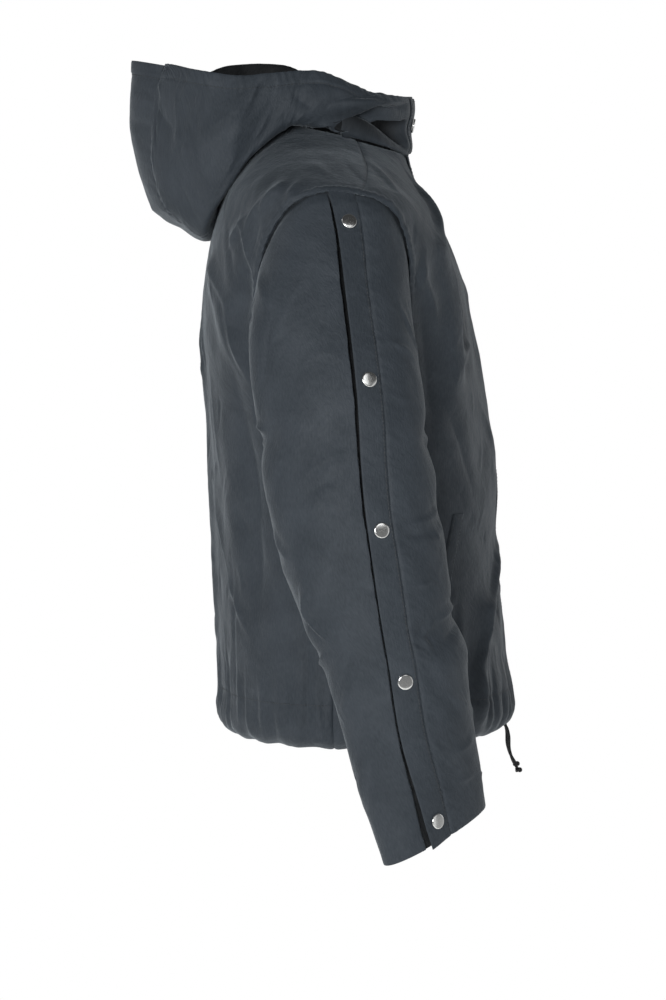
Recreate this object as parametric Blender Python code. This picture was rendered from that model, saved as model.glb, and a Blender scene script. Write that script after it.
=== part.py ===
"""Snap-front hooded jacket in its worn form: hollow cloth walls, open at neck, hem and cuffs.

Metres, +Z up. The front faces -Y and the wearer's right is -X. The origin is the middle of the
neck base, where the shoulders carry the garment.
"""

import bmesh
import bpy
import numpy as np
from mathutils import Matrix, Vector

NAME = "snap_front_jacket"

# Cloth and seams
WALL = 0.0016
STRIP_WALL = 0.0014
SEAM = 0.0003
SEAM_SHARE = 0.0006
FINE_SHARE = 0.0003

# Body sections from the hem up: polar superellipses round a centre line.
# level, centre y, depth to the front, depth to the back, half width, squareness, forward tilt
BODY = np.array(
    [
        (-0.584, 0.010, 0.150, 0.117, 0.184, 2.30, 0.000),
        (-0.578, 0.010, 0.160, 0.125, 0.193, 2.30, 0.000),
        (-0.566, 0.010, 0.167, 0.129, 0.200, 2.35, 0.000),
        (-0.548, 0.010, 0.166, 0.128, 0.202, 2.40, 0.000),
        (-0.510, 0.010, 0.158, 0.129, 0.203, 2.40, 0.000),
        (-0.460, 0.010, 0.154, 0.130, 0.204, 2.40, 0.000),
        (-0.400, 0.010, 0.148, 0.132, 0.206, 2.40, 0.000),
        (-0.350, 0.010, 0.150, 0.134, 0.206, 2.40, 0.000),
        (-0.300, 0.010, 0.144, 0.137, 0.207, 2.40, 0.001),
        (-0.240, 0.010, 0.134, 0.140, 0.211, 2.40, 0.003),
        (-0.180, 0.010, 0.123, 0.143, 0.219, 2.40, 0.006),
        (-0.130, 0.010, 0.113, 0.138, 0.229, 2.40, 0.010),
        (-0.090, 0.010, 0.099, 0.128, 0.236, 2.30, 0.013),
        (-0.062, 0.012, 0.088, 0.115, 0.231, 2.20, 0.015),
        (-0.046, 0.016, 0.082, 0.102, 0.200, 2.10, 0.016),
        (-0.028, 0.020, 0.078, 0.085, 0.150, 2.00, 0.017),
        (-0.010, 0.023, 0.076, 0.066, 0.098, 2.00, 0.018),
        (0.000, 0.024, 0.075, 0.053, 0.076, 2.00, 0.018),
    ]
)
HEM_LEVEL = BODY[0, 0]
NECK_LEVEL = 0.0
SIDE_ANGLE = 94.0

# Armhole: an egg on the body's surface, given by its levels, the lean of its top towards the front
# and the angles it reaches from its middle
ARMHOLE_TOP = -0.060
ARMHOLE_UNDER = -0.285
ARMHOLE_LEAN = 2.0
ARMHOLE_FRONT = 18.2
ARMHOLE_BACK = 21.5
ARMHOLE_FRONT_SQUARE = 3.0
ARMHOLE_BACK_SQUARE = 2.0
ARMHOLE_EASE = 0.006

# Shoulder seam: from this angle on the neckline to this turn round the armhole
SHOULDER_ANGLE = 72.0
SHOULDER_TURN = 12.5

# Largest folds of the body: soft ridges, or troughs where the height is below zero, along straight runs.
# start angle, start level, end angle, end level, half width, height
BODY_FOLDS = np.array(
    [
        (43.0, -0.040, 60.5, -0.108, 0.013, 0.0040),
        (60.5, -0.108, 55.0, -0.225, 0.014, 0.0045),
        (142.0, -0.140, 118.0, -0.232, 0.014, 0.0050),
        (117.0, -0.140, 122.0, -0.185, 0.012, -0.0040),
        (23.0, -0.406, 42.5, -0.457, 0.014, 0.0040),
        (42.5, -0.457, 50.0, -0.545, 0.014, 0.0045),
        (166.0, -0.210, 158.0, -0.480, 0.018, 0.0040),
        (22.0, -0.150, 30.0, -0.330, 0.016, 0.0030),
    ]
)
BODY_FOLD_SCALE = (0.0031, 1.0)

# Gathers of the hem channel: number on a front, twice that on the back, depth and height they fade over
GATHERS = 6
GATHER_DEPTH = 0.0018
GATHER_RISE = 0.095
GATHER_CLEAR = 0.026

# Front placket
FRONT_PLACKET = 0.030
UNDERLAP = 0.020
DIP = WALL + 0.0009
DIP_FLAT = 0.008
DIP_RUN = 0.014

# Sleeve rings from below the armhole to the cuff: the ring passes through these four points.
# The lean is how far its front swings in to the body.
# front y, front z, back y, back z, outer x, outer z, inner x, inner z, lean
SLEEVE = np.array(
    [
        (-0.052, -0.200, 0.1010, -0.190, 0.256, -0.130, 0.2105, -0.294, 0.000),
        (-0.064, -0.275, 0.0930, -0.272, 0.296, -0.245, 0.2135, -0.322, 0.000),
        (-0.074, -0.347, 0.0850, -0.335, 0.314, -0.340, 0.2165, -0.362, 0.000),
        (-0.083, -0.412, 0.0675, -0.408, 0.320, -0.415, 0.2185, -0.422, 0.000),
        (-0.096, -0.482, 0.0360, -0.482, 0.320, -0.485, 0.2220, -0.486, 0.003),
        (-0.106, -0.553, 0.0155, -0.556, 0.314, -0.557, 0.2260, -0.556, 0.008),
        (-0.113, -0.598, -0.0030, -0.618, 0.307, -0.611, 0.2290, -0.608, 0.014),
        (-0.117, -0.627, -0.0215, -0.674, 0.303, -0.653, 0.2320, -0.648, 0.020),
    ]
)
# Sleeve placket on the armhole and on each ring: turn of its free edge in degrees, lift of that edge
SLEEVE_EDGE = np.array(
    [
        (-4.5, 0.0012),
        (6.0, 0.0030),
        (8.5, 0.0028),
        (6.5, 0.0016),
        (4.5, 0.0014),
        (-4.0, 0.0014),
        (-7.5, 0.0020),
        (-6.0, 0.0045),
        (-6.5, 0.0070),
    ]
)
SLEEVE_PLACKET = 0.025
LIFT_POWER = 1.4
UNDERARM_EASE = 0.35

# Largest folds of a sleeve
# start turn, start share along, end turn, end share along, half width, height
SLEEVE_FOLDS = np.array(
    [
        (0.0, 0.360, -40.0, 0.405, 0.020, -0.0035),
        (-62.0, 0.320, -110.0, 0.290, 0.018, -0.0045),
        (-48.0, 0.570, -76.0, 0.645, 0.018, 0.0045),
        (36.0, 0.640, 100.0, 0.595, 0.018, -0.0055),
        (40.0, 0.690, 105.0, 0.665, 0.018, 0.0035),
        (40.0, 0.450, 88.0, 0.410, 0.018, -0.0035),
        (74.0, 0.315, 112.0, 0.240, 0.018, -0.0040),
        (150.0, 0.600, 212.0, 0.580, 0.020, -0.0040),
        (140.0, 0.330, 200.0, 0.310, 0.020, -0.0035),
    ]
)
SLEEVE_FOLD_SCALE = (0.0014, 0.62)

# Hood stations along the neckline from the front centre to the gusset's corner at the nape.
# neck angle, rim x, rim y, rim z, foot reach, foot z, belly reach, belly z, throat fold
HOOD_NECK = np.array(
    [
        (0.0, 0.0000, -0.0545, 0.0405, 0.002, 0.000, 0.000, 0.020, 0.0012),
        (36.0, 0.0440, -0.0400, 0.0385, 0.004, 0.002, 0.002, 0.020, 0.0040),
        (72.0, 0.0680, -0.0070, 0.0435, 0.008, 0.006, 0.012, 0.020, 0.0090),
        (95.6, 0.0820, 0.0310, 0.0585, 0.022, 0.006, 0.018, 0.016, 0.0040),
        (119.5, 0.0880, 0.0540, 0.0600, 0.040, 0.004, 0.020, 0.004, 0.0000),
        (139.0, 0.0910, 0.0700, 0.0585, 0.046, 0.002, 0.020, -0.010, 0.0000),
    ]
)
# Hood stations along the gusset seam from the nape down the back, round the bag and up its rear.
# seam x, seam y, seam z, gusset bulge, rim x, rim y, rim z, foot reach, foot z, belly reach, belly z
HOOD_SEAM = np.array(
    [
        (0.0430, 0.0980, 0.0180, 0.000, 0.0950, 0.0940, 0.0555, 0.045, -0.034, 0.020, -0.040),
        (0.0470, 0.1345, -0.0450, 0.000, 0.0960, 0.1170, 0.0550, 0.040, -0.080, 0.018, -0.074),
        (0.0480, 0.1540, -0.0965, 0.004, 0.0930, 0.1370, 0.0575, 0.034, -0.104, 0.016, -0.060),
        (0.0480, 0.1760, -0.0825, 0.006, 0.0880, 0.1510, 0.0600, 0.028, -0.078, 0.013, -0.020),
        (0.0480, 0.1910, -0.0640, 0.013, 0.0800, 0.1620, 0.0625, 0.022, -0.045, 0.010, 0.000),
        (0.0480, 0.2005, -0.0220, 0.019, 0.0670, 0.1730, 0.0660, 0.012, 0.000, 0.006, 0.030),
        (0.0465, 0.1980, 0.0250, 0.029, 0.0560, 0.1820, 0.0685, 0.006, 0.040, 0.003, 0.055),
        (0.0440, 0.1885, 0.0680, 0.036, 0.0460, 0.1875, 0.0695, 0.000, 0.0685, 0.000, 0.069),
    ]
)
HOOD_START = 0.0005
HOOD_EDGE = 0.006
GUSSET_EASE = 0.008
HOOD_LEFT_LIFT = 0.026
HOOD_CENTRE_Y = 0.060
HOOD_SPREAD = 0.35

# Largest folds of a hood side
# start station, start height, end station, end height, half width, height
HOOD_FOLDS = np.array(
    [
        (5.5, 1.000, 6.8, 0.880, 0.014, 0.0050),
        (6.8, 0.880, 8.3, 0.780, 0.014, 0.0050),
        (5.7, 0.740, 8.0, 0.600, 0.016, -0.0050),
        (9.8, 0.700, 11.6, 0.340, 0.014, -0.0040),
    ]
)
HOOD_FOLD_SCALE = (0.030, 0.100)

# Throat tab: share of the hood's first division it reaches across, and its ends
TAB_REACH = 0.68
TAB_EDGE = 0.03

# Pocket welts: the opening runs between these two places on the body, angle and level
POCKET_TOP = (55.5, -0.362)
POCKET_BOTTOM = (65.6, -0.490)
WELT_WIDTH = 4.2

# Snap caps: turned profile, distances along the sleeve placket and levels on the front
SNAP_RADIUS = 0.0072
SNAP_SIDES = 12
SNAP_PROFILE = ((0.0, 0.0), (1.0, 0.0), (1.0, 0.0009), (0.86, 0.0018), (0.70, 0.0014), (0.0, 0.0016))
SNAP_STAND = 0.0004
SLEEVE_SNAP_LENGTHS = (0.032, 0.185, 0.322, 0.460, 0.593)
FRONT_SNAP_LEVELS = (-0.050, -0.172, -0.294, -0.416, -0.538)
THROAT_SNAP_HEIGHT = 0.012

# Drawcord end: leaves the hem, hangs and ends in a knot
CORD_RADIUS = 0.0015
CORD_X = 0.020
CORD_LINE = (
    (-0.1478, -0.5836),
    (-0.1495, -0.5866),
    (-0.1513, -0.5930),
    (-0.1524, -0.6090),
    (-0.1560, -0.6200),
    (-0.1588, -0.6248),
)
KNOT_CENTRE = (-0.1612, -0.6288)
KNOT_RADIUS = 0.0036

# How finely each panel is divided, across and along
FRONT_COLUMNS = 2 * GATHERS
BACK_COLUMNS = 2 * FRONT_COLUMNS
FRONT_STRIP_COLUMNS = 2
SIDE_SHARE = 0.5
HEM_ROWS = (0.0, 0.010, 0.031, 0.062)
BODY_ROWS = np.concatenate([HEM_ROWS, np.linspace(0.115, SIDE_SHARE, 8), np.linspace(SIDE_SHARE, 1.0, 12)[1:]])
NECK_COLUMNS = 4
NECK_SHARE = NECK_COLUMNS / FRONT_COLUMNS
CLOSURE_SHARES = (0.0, 0.085, 0.150, 0.240, NECK_SHARE)
SLEEVE_FRONT_CELLS = (10, 20)
SLEEVE_BACK_CELLS = (11, 20)
STRIP_CELLS = (2, 20)
HOOD_CELLS = (26, 8)
GUSSET_CELLS = (4, 16)
WELT_CELLS = (1, 6)

# Colours
CLOTH = (0.045, 0.055, 0.066, 1.0)
METAL = (0.75, 0.76, 0.76, 1.0)
CORD = (0.012, 0.013, 0.015, 1.0)


def smooth(knots, stack, at):
    """Carries a stack of rows smoothly between their knots, by cubic pieces."""
    slopes = np.gradient(stack, knots, axis=0)
    low = np.clip(np.searchsorted(knots, at, side="right") - 1, 0, len(knots) - 2)
    span = (knots[low + 1] - knots[low])[..., None]
    s = ((at - knots[low]) / (knots[low + 1] - knots[low]))[..., None]

    def row(values, index):
        return np.take_along_axis(values, index[None, ..., None], axis=0)[0]

    start = row(stack, low) * (1 + 2 * s) * (1 - s) ** 2
    leave = row(slopes, low) * span * s * (1 - s) ** 2
    end = row(stack, low + 1) * s**2 * (3 - 2 * s)
    arrive = row(slopes, low + 1) * span * s**2 * (s - 1)
    return start + leave + end + arrive


def table_at(knots, columns, at):
    """The columns of a table at any places between its rows."""
    shape = (len(knots),) + (1,) * at.ndim + (columns.shape[1],)
    stack = np.broadcast_to(columns.reshape(shape), (len(knots),) + at.shape + (columns.shape[1],))
    return smooth(knots, stack, at)


def unit(vectors):
    return vectors / np.linalg.norm(vectors, axis=-1, keepdims=True)


def ease(value):
    value = np.clip(value, 0, 1)
    return value * value * (3 - 2 * value)


def folds(table, scale, across, along):
    """Height of the folds of a table at places of a surface: soft humps round straight runs."""
    total = np.zeros(np.shape(across))
    for start_across, start_along, end_across, end_along, half_width, height in table:
        run = np.array([(end_across - start_across) * scale[0], (end_along - start_along) * scale[1]])
        x = (across - start_across) * scale[0]
        y = (along - start_along) * scale[1]
        share = np.clip((x * run[0] + y * run[1]) / (run @ run), 0, 1)
        away = (x - share * run[0]) ** 2 + (y - share * run[1]) ** 2
        total = total + height * np.exp(-away / half_width**2)
    return total


def facing(surface, across, along, across_step, along_step):
    """Unit normal of a surface of two parameters, from small steps either way."""
    side = surface(across + across_step, along) - surface(across - across_step, along)
    up = surface(across, along + along_step) - surface(across, along - along_step)
    return unit(np.cross(side, up))


def grid(cells, low=SEAM_SHARE, high=1 - SEAM_SHARE):
    """Two parameter arrays over a panel, kept just inside its seams."""
    across = np.linspace(low, high, cells[0] + 1)
    along = np.linspace(low, high, cells[1] + 1)
    return np.meshgrid(across, along, indexing="ij")


def body_grid(columns, inset=SEAM_SHARE):
    """Parameter arrays over a body panel, whose rows close up towards the hem."""
    across = np.linspace(inset, 1 - inset, columns + 1)
    return np.meshgrid(across, np.clip(BODY_ROWS, FINE_SHARE, 1 - FINE_SHARE), indexing="ij")


def mirrored(points, side):
    return points * np.array([side, 1.0, 1.0])


def torso(angle, level):
    """Body surface: angle in degrees from the front centre towards +X, level from the neck base."""
    centre, front, back, half, square, tilt = np.moveaxis(table_at(BODY[:, 0], BODY[:, 1:], level), -1, 0)
    sine = np.sin(np.radians(angle))
    cosine = np.cos(np.radians(angle))
    depth = np.where(cosine > 0, front, back)
    reach = (np.abs(sine / half) ** square + np.abs(cosine / depth) ** square) ** (-1 / square)
    reach = reach + folds(BODY_FOLDS, BODY_FOLD_SCALE, np.degrees(np.arccos(np.clip(cosine, -1, 1))), level)
    return np.stack([reach * sine, centre - reach * cosine, level - tilt * cosine], axis=-1)


def torso_normal(angle, level):
    return facing(torso, angle, level, 0.5, 0.0005)


def girth(angle, level, centre_angle):
    """Length round the section from its front or back centre to an angle."""
    share = np.linspace(0, 1, 65).reshape((-1,) + (1,) * np.ndim(angle))
    levels = np.broadcast_to(level, share.shape[:1] + np.shape(angle))
    line = torso(centre_angle + (angle - centre_angle) * share, levels)
    return np.linalg.norm(np.diff(line, axis=0), axis=-1).sum(axis=0)


def angle_at(length, level, centre_angle):
    """Angle at which a length round the section from its front or back centre is reached."""
    sweep = np.linspace(0, 130, 131)
    towards = 1 if centre_angle == 0 else -1
    fan = (centre_angle + towards * sweep).reshape((-1,) + (1,) * length.ndim)
    line = torso(np.broadcast_to(fan, (131,) + length.shape), np.broadcast_to(level, (131,) + length.shape))
    steps = np.linalg.norm(np.diff(line, axis=0), axis=-1)
    total = np.concatenate([np.zeros((1,) + length.shape), np.cumsum(steps, axis=0)])
    wanted = np.abs(length)
    low = np.clip((total < wanted).sum(axis=0) - 1, 0, 129)
    before = np.take_along_axis(total, low[None], axis=0)[0]
    after = np.take_along_axis(total, low[None] + 1, axis=0)[0]
    swept = sweep[low] + (wanted - before) / (after - before)
    return centre_angle + towards * np.sign(length) * swept


def armhole_line():
    """The armhole as turn, angle and level: turn 0 top, 90 front, 180 under the arm, 270 back."""
    middle = (ARMHOLE_TOP + ARMHOLE_UNDER) / 2
    half = (ARMHOLE_TOP - ARMHOLE_UNDER) / 2
    raw = np.radians(np.linspace(0, 360, 1441))
    square = np.where(raw < np.pi / 2, ARMHOLE_FRONT_SQUARE, ARMHOLE_BACK_SQUARE)
    rise = np.sign(np.cos(raw)) * np.abs(np.cos(raw)) ** (2 / square)
    sway = np.sign(np.sin(raw)) * np.abs(np.sin(raw)) ** (2 / square)
    angle = SIDE_ANGLE - ARMHOLE_LEAN * (1 + rise) / 2 - np.where(sway > 0, ARMHOLE_FRONT, ARMHOLE_BACK) * sway
    level = middle + half * rise
    line = torso(angle, level)
    length = np.concatenate([[0], np.cumsum(np.linalg.norm(np.diff(line, axis=0), axis=-1))])
    quarters = length[[0, 360, 720, 1080, 1440]]
    turn = np.interp(length, quarters, [0, 90, 180, 270, 360])
    return turn, angle, level


ARM_TURN, ARM_ANGLE, ARM_LEVEL = armhole_line()


def armhole(turn):
    """Angle and level on the body at a turn round the armhole."""
    turn = np.mod(turn, 360)
    return np.interp(turn, ARM_TURN, ARM_ANGLE), np.interp(turn, ARM_TURN, ARM_LEVEL)


def side_edge(share, centre_angle):
    """Side seam, then armhole, from the hem to the shoulder seam, as girth and level."""
    climb = np.clip((share - SIDE_SHARE) / (1 - SIDE_SHARE), 0, 1)
    top = SHOULDER_TURN if centre_angle == 0 else 360 + SHOULDER_TURN
    hole_angle, hole_level = armhole(180 + (top - 180) * climb)
    seam_level = HEM_LEVEL + (ARMHOLE_UNDER - HEM_LEVEL) * share / SIDE_SHARE
    angle = np.where(share < SIDE_SHARE, SIDE_ANGLE, hole_angle)
    level = np.where(share < SIDE_SHARE, seam_level, hole_level)
    return np.stack([girth(angle, level, centre_angle), level], axis=-1)


def top_edge(share, start, centre_angle):
    """Neckline, then shoulder seam, from the panel's centre to the armhole, as girth and level."""
    tip_angle, tip_level = armhole(np.array(SHOULDER_TURN))
    corner = girth(np.array(SHOULDER_ANGLE), np.array(NECK_LEVEL), centre_angle)
    on_neck = start + (corner - start) * share / NECK_SHARE
    down = np.clip((share - NECK_SHARE) / (1 - NECK_SHARE), 0, 1)
    angle = SHOULDER_ANGLE + (tip_angle - SHOULDER_ANGLE) * down
    level = NECK_LEVEL + (tip_level - NECK_LEVEL) * down
    length = np.where(share < NECK_SHARE, on_neck, girth(angle, level, centre_angle))
    return np.stack([length, level], axis=-1)


def flat_panel(u, v, left, right, bottom, top):
    """Flat cut between four edges that are functions of u or v, as girth and level."""
    ends = np.array([0.0, 1.0])
    low_left, high_left = left(ends)
    low_right, high_right = right(ends)
    ruled = (1 - u)[..., None] * left(v) + u[..., None] * right(v)
    ruled = ruled + (1 - v)[..., None] * bottom(u) + v[..., None] * top(u)
    low = (1 - u)[..., None] * low_left + u[..., None] * low_right
    high = (1 - u)[..., None] * high_left + u[..., None] * high_right
    return ruled - (1 - v)[..., None] * low - v[..., None] * high


def front_cut(u, v, start):
    """Flat cut of a front from an edge at the closure to the side, on the +X half."""
    hem_girth = girth(np.array(SIDE_ANGLE), np.array(HEM_LEVEL), 0)

    def closure(share):
        return np.stack([np.full(share.shape, start), HEM_LEVEL + (NECK_LEVEL - HEM_LEVEL) * share], axis=-1)

    def side(share):
        return side_edge(share, 0)

    def hem(share):
        return np.stack([start + (hem_girth - start) * share, np.full(share.shape, HEM_LEVEL)], axis=-1)

    def top(share):
        return top_edge(share, start, 0)

    return flat_panel(u, v, closure, side, hem, top)


def back_cut(u, v):
    """Flat cut of the back from the -X side to the +X side."""
    flip = np.array([-1.0, 1.0])
    hem_girth = girth(np.array(SIDE_ANGLE), np.array(HEM_LEVEL), 180)

    def right(share):
        return side_edge(share, 180) * flip

    def left(share):
        return side_edge(share, 180)

    def hem(share):
        return np.stack([hem_girth * (2 * share - 1), np.full(share.shape, HEM_LEVEL)], axis=-1)

    def top(share):
        half = top_edge(np.abs(2 * share - 1), 0.0, 180)
        return np.where(share[..., None] < 0.5, half * flip, half)

    return flat_panel(u, v, right, left, hem, top)


def gathered(share, cut, count):
    """Depth of the hem's gathers below the body's form, at shares across a panel."""
    wave = (1 - np.cos(2 * np.pi * count * share)) / 2
    rise = 1 - ease((cut[..., 1] - HEM_LEVEL) / GATHER_RISE)
    clear = ease((np.abs(cut[..., 0]) - GATHER_CLEAR) / GATHER_CLEAR)
    return GATHER_DEPTH * wave * rise * clear


def on_body(cut, centre_angle, sunk=0.0):
    """Outer and inner skin of a flat cut laid on the body."""
    angle = angle_at(cut[..., 0], cut[..., 1], centre_angle)
    normal = torso_normal(angle, cut[..., 1])
    outer = torso(angle, cut[..., 1]) - normal * np.asarray(sunk)[..., None]
    return outer, outer - normal * WALL


def armhole_rim(turn):
    """First ring of the +X sleeve, on the body's armhole edge and drawn in from it by the seam."""
    climb = (BODY_ROWS[BODY_ROWS >= SIDE_SHARE] - SIDE_SHARE) / (1 - SIDE_SHARE)
    front = SHOULDER_TURN + (180 - SHOULDER_TURN) * climb
    back = 180 + (180 + SHOULDER_TURN) * climb
    knots = np.concatenate([front, back[1:]])
    angle, level = armhole(knots)
    edge = torso(angle, level) + torso_normal(angle, level) * SEAM
    middle = edge[:-1].mean(axis=0)
    edge = middle + (edge - middle) * (1 - ARMHOLE_EASE)
    wrapped = SHOULDER_TURN + np.mod(turn - SHOULDER_TURN, 360)
    return np.stack([np.interp(wrapped, knots, edge[:, axis]) for axis in range(3)], axis=-1)


def neck_rim(angle):
    """Foot of the hood: the neckline's edge as the body's panels divide it, moved up by the seam."""
    share = np.linspace(0, NECK_SHARE, NECK_COLUMNS + 1)
    front = top_edge(share, FRONT_PLACKET / 2, 0)
    back = top_edge(share, 0.0, 180)
    front_angles = angle_at(front[:, 0], front[:, 1], 0)
    back_angles = angle_at(back[:-1, 0], back[:-1, 1], 180)[::-1]
    knots = np.concatenate([[0.0], front_angles, back_angles])
    edge = torso(knots, np.full(knots.shape, HOOD_START))
    folded = np.degrees(np.arccos(np.cos(np.radians(angle))))
    points = np.stack([np.interp(folded, knots, edge[:, axis]) for axis in range(3)], axis=-1)
    points[..., 0] *= np.where(angle > 180, -1.0, 1.0)
    return points


def sleeve_rings(turn):
    """Every ring of the +X sleeve at a turn, the armhole first."""
    start = armhole_rim(turn)
    cosine = np.cos(np.radians(turn))
    sine = np.sin(np.radians(turn))
    rings = [start]
    for front_y, front_z, back_y, back_z, outer_x, outer_z, inner_x, inner_z, lean in SLEEVE:
        x = (outer_x + inner_x) / 2 + (outer_x - inner_x) / 2 * cosine - lean * sine
        y = (front_y + back_y) / 2 + (front_y - back_y) / 2 * sine
        z = (front_z + back_z + outer_z + inner_z) / 4
        z = z + (outer_z - inner_z) / 2 * cosine + (front_z - back_z) / 2 * sine
        rings.append(np.stack([x, y, z], axis=-1))
    return np.stack(rings)


def ring_knots():
    """Share of the sleeve's length at which each ring lies."""
    rings = sleeve_rings(np.array([0.0, 90.0, 270.0]))
    gaps = np.linalg.norm(np.diff(rings, axis=0), axis=-1).mean(axis=1)
    return np.concatenate([[0], np.cumsum(gaps)]) / gaps.sum()


RING_KNOTS = ring_knots()


def sleeve(turn, along):
    """Surface of the +X sleeve: turn round the arm, share along it from the armhole."""
    wrapped = np.mod(turn + 120, 360) - 120
    height = folds(SLEEVE_FOLDS, SLEEVE_FOLD_SCALE, wrapped, along)
    out = np.stack([np.cos(np.radians(turn)), -np.sin(np.radians(turn)), np.zeros(np.shape(turn))], axis=-1)
    return smooth(RING_KNOTS, sleeve_rings(turn), along) + height[..., None] * out


def sleeve_normal(turn, along):
    return facing(sleeve, turn, along, 0.5, 0.002)


def placket_edges(along):
    """Turns of the sleeve placket's free edge and of its seam."""
    free = table_at(RING_KNOTS, SLEEVE_EDGE, along)[..., 0]
    per_degree = np.linalg.norm(sleeve(free + 6, along) - sleeve(free + 5, along), axis=-1)
    return free, free + SLEEVE_PLACKET / per_degree


def on_sleeve(turn, along, raised, wall):
    normal = sleeve_normal(turn, along)
    outer = sleeve(turn, along) + normal * np.asarray(raised)[..., None]
    return outer, outer - normal * wall


def sleeve_front_half():
    share, along = grid(SLEEVE_FRONT_CELLS)
    seam = placket_edges(along)[1]
    return on_sleeve(seam + (180 - UNDERARM_EASE - seam) * share, along, np.zeros(share.shape), WALL)


def sleeve_back_half():
    share, along = grid(SLEEVE_BACK_CELLS)
    free, seam = placket_edges(along)
    per_metre = (seam - free) / SLEEVE_PLACKET
    end = 360 + free + UNDERLAP * per_metre
    turn = 180 + UNDERARM_EASE + (end - 180 - UNDERARM_EASE) * share
    short = (360 + free - turn) / per_metre
    return on_sleeve(turn, along, -DIP * ease(1 - short / DIP_RUN), WALL)


def strip(share, along):
    """Outer skin of the +X sleeve's placket, from its lifted free edge to its seam."""
    free, seam = placket_edges(along)
    turn = free + (seam - free) * share
    lift = table_at(RING_KNOTS, SLEEVE_EDGE, along)[..., 1] * np.clip(1 - share, 0, 1) ** LIFT_POWER
    return sleeve(turn, along) + sleeve_normal(turn, along) * lift[..., None]


def strip_normal(share, along):
    return facing(strip, share, along, 0.1, 0.002)


def sleeve_strip():
    share, along = grid(STRIP_CELLS)
    outer = strip(share, along)
    return outer, outer - strip_normal(share, along) * STRIP_WALL


def hood_seam_line():
    """The seam between hood side and gusset, from the nape corner to the top of the rear."""
    corner = neck_rim(np.array(HOOD_NECK[-1, 0]))
    return np.concatenate([corner[None], HOOD_SEAM[:, :3]])


NAPE = len(HOOD_NECK) - 1
LAST_STATION = NAPE + len(HOOD_SEAM)
STATIONS = np.arange(LAST_STATION + 1.0)
SEAM_LINE = hood_seam_line()
FOLD_COLUMN = np.concatenate([HOOD_NECK[:, 8], np.zeros(len(HOOD_SEAM))])
HOOD_COLUMNS = np.column_stack([np.concatenate([HOOD_NECK[:, 1:8], HOOD_SEAM[:, 4:11]]), FOLD_COLUMN])


def hood(station, height, side):
    """Surface of a hood side: station from the front centre round to the rear, height from seam to rim."""
    neck_angle = np.interp(station, STATIONS[: NAPE + 1], HOOD_NECK[:, 0])
    on_neck = neck_rim(neck_angle)
    on_seam = table_at(STATIONS[NAPE:], SEAM_LINE, station)
    low = np.where((station < NAPE)[..., None], on_neck, on_seam)
    shaped = table_at(STATIONS, HOOD_COLUMNS, station)
    foot_reach, foot_z, belly_reach, belly_z, fold = np.moveaxis(shaped[..., 3:], -1, 0)
    rim = shaped[..., :3].copy()
    if side > 0:
        rim[..., 2] += HOOD_LEFT_LIFT * np.sin(np.pi * np.clip((station - 2) / (LAST_STATION - 4), 0, 1)) ** 2
    out = (low + rim) / 2 - np.array([0.0, HOOD_CENTRE_Y, 0.0])
    out = unit(out * np.array([1.0, HOOD_SPREAD, 0.0]) + np.array([1e-6, 0.0, 0.0]))
    foot = low + out * foot_reach[..., None]
    foot[..., 2] = foot_z
    belly = rim + out * belly_reach[..., None]
    belly[..., 2] = belly_z
    h = height[..., None]
    points = (1 - h) ** 3 * low + 3 * h * (1 - h) ** 2 * foot + 3 * h**2 * (1 - h) * belly + h**3 * rim
    roll = fold * np.sin(3 * np.pi * height * (1.25 - 0.25 * height))
    roll = roll + folds(HOOD_FOLDS, HOOD_FOLD_SCALE, station, height)
    return mirrored(points + roll[..., None] * out, side)


def hood_normal(station, height, side):
    def surface(a, b):
        return hood(a, b, side)

    return facing(surface, station, height, 0.02, 0.01) * side


def gusset(across, along):
    """Centre strip of the hood between its two seams, bowed out across; along counts hood stations."""
    seam, before, after = (table_at(STATIONS[NAPE:], SEAM_LINE, along + step) for step in (0.0, -0.05, 0.05))
    ahead = after - before
    bulges = np.concatenate([[0.0], HOOD_SEAM[:, 3]])
    bulge = table_at(STATIONS[NAPE:], bulges[:, None], along)
    out = unit(np.stack([np.zeros(along.shape), ahead[..., 2], -ahead[..., 1]], axis=-1))
    flat = np.stack([across, np.ones(across.shape), np.ones(across.shape)], axis=-1)
    nape_angle = 180 - (180 - HOOD_NECK[-1, 0]) * across
    bow = neck_rim(nape_angle) - SEAM_LINE[0] * flat
    near_nape = 1 - ease(along - NAPE)
    return seam * flat + out * bulge * (1 - across[..., None] ** 2) + bow * near_nape[..., None]


def gusset_normal(across, along):
    return -facing(gusset, across, along, 0.02, 0.02)


def seam_mitre(along, side):
    """Direction half way between hood side and gusset along their seam."""
    on_side = hood_normal(along, np.zeros(along.shape), side)
    on_gusset = gusset_normal(np.full(along.shape, float(side)), along)
    return unit(on_side + on_gusset)


def hood_side(side):
    share, height = grid(HOOD_CELLS)
    station = np.linspace(0, LAST_STATION, HOOD_CELLS[0] + 1)[:, None] + 0 * share
    station = np.clip(station, HOOD_EDGE, None)
    normal = hood_normal(station, height, side)
    on_seam = station[:, 0] >= NAPE
    normal[on_seam, 0] = seam_mitre(station[on_seam, 0], side)
    normal[0, :, 0] = 0.0
    normal = unit(normal)
    outer = hood(station, height, side)
    return outer, outer - normal * WALL


def hood_gusset():
    share, along = grid(GUSSET_CELLS, 0.0, 1.0)
    across = (2 * share - 1) * (1 - GUSSET_EASE)
    along = NAPE + (LAST_STATION - NAPE) * along
    normal = gusset_normal(across, along)
    normal[0] = seam_mitre(along[0], -1)
    normal[-1] = seam_mitre(along[-1], 1)
    outer = gusset(across, along)
    return outer, outer - normal * WALL


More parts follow.
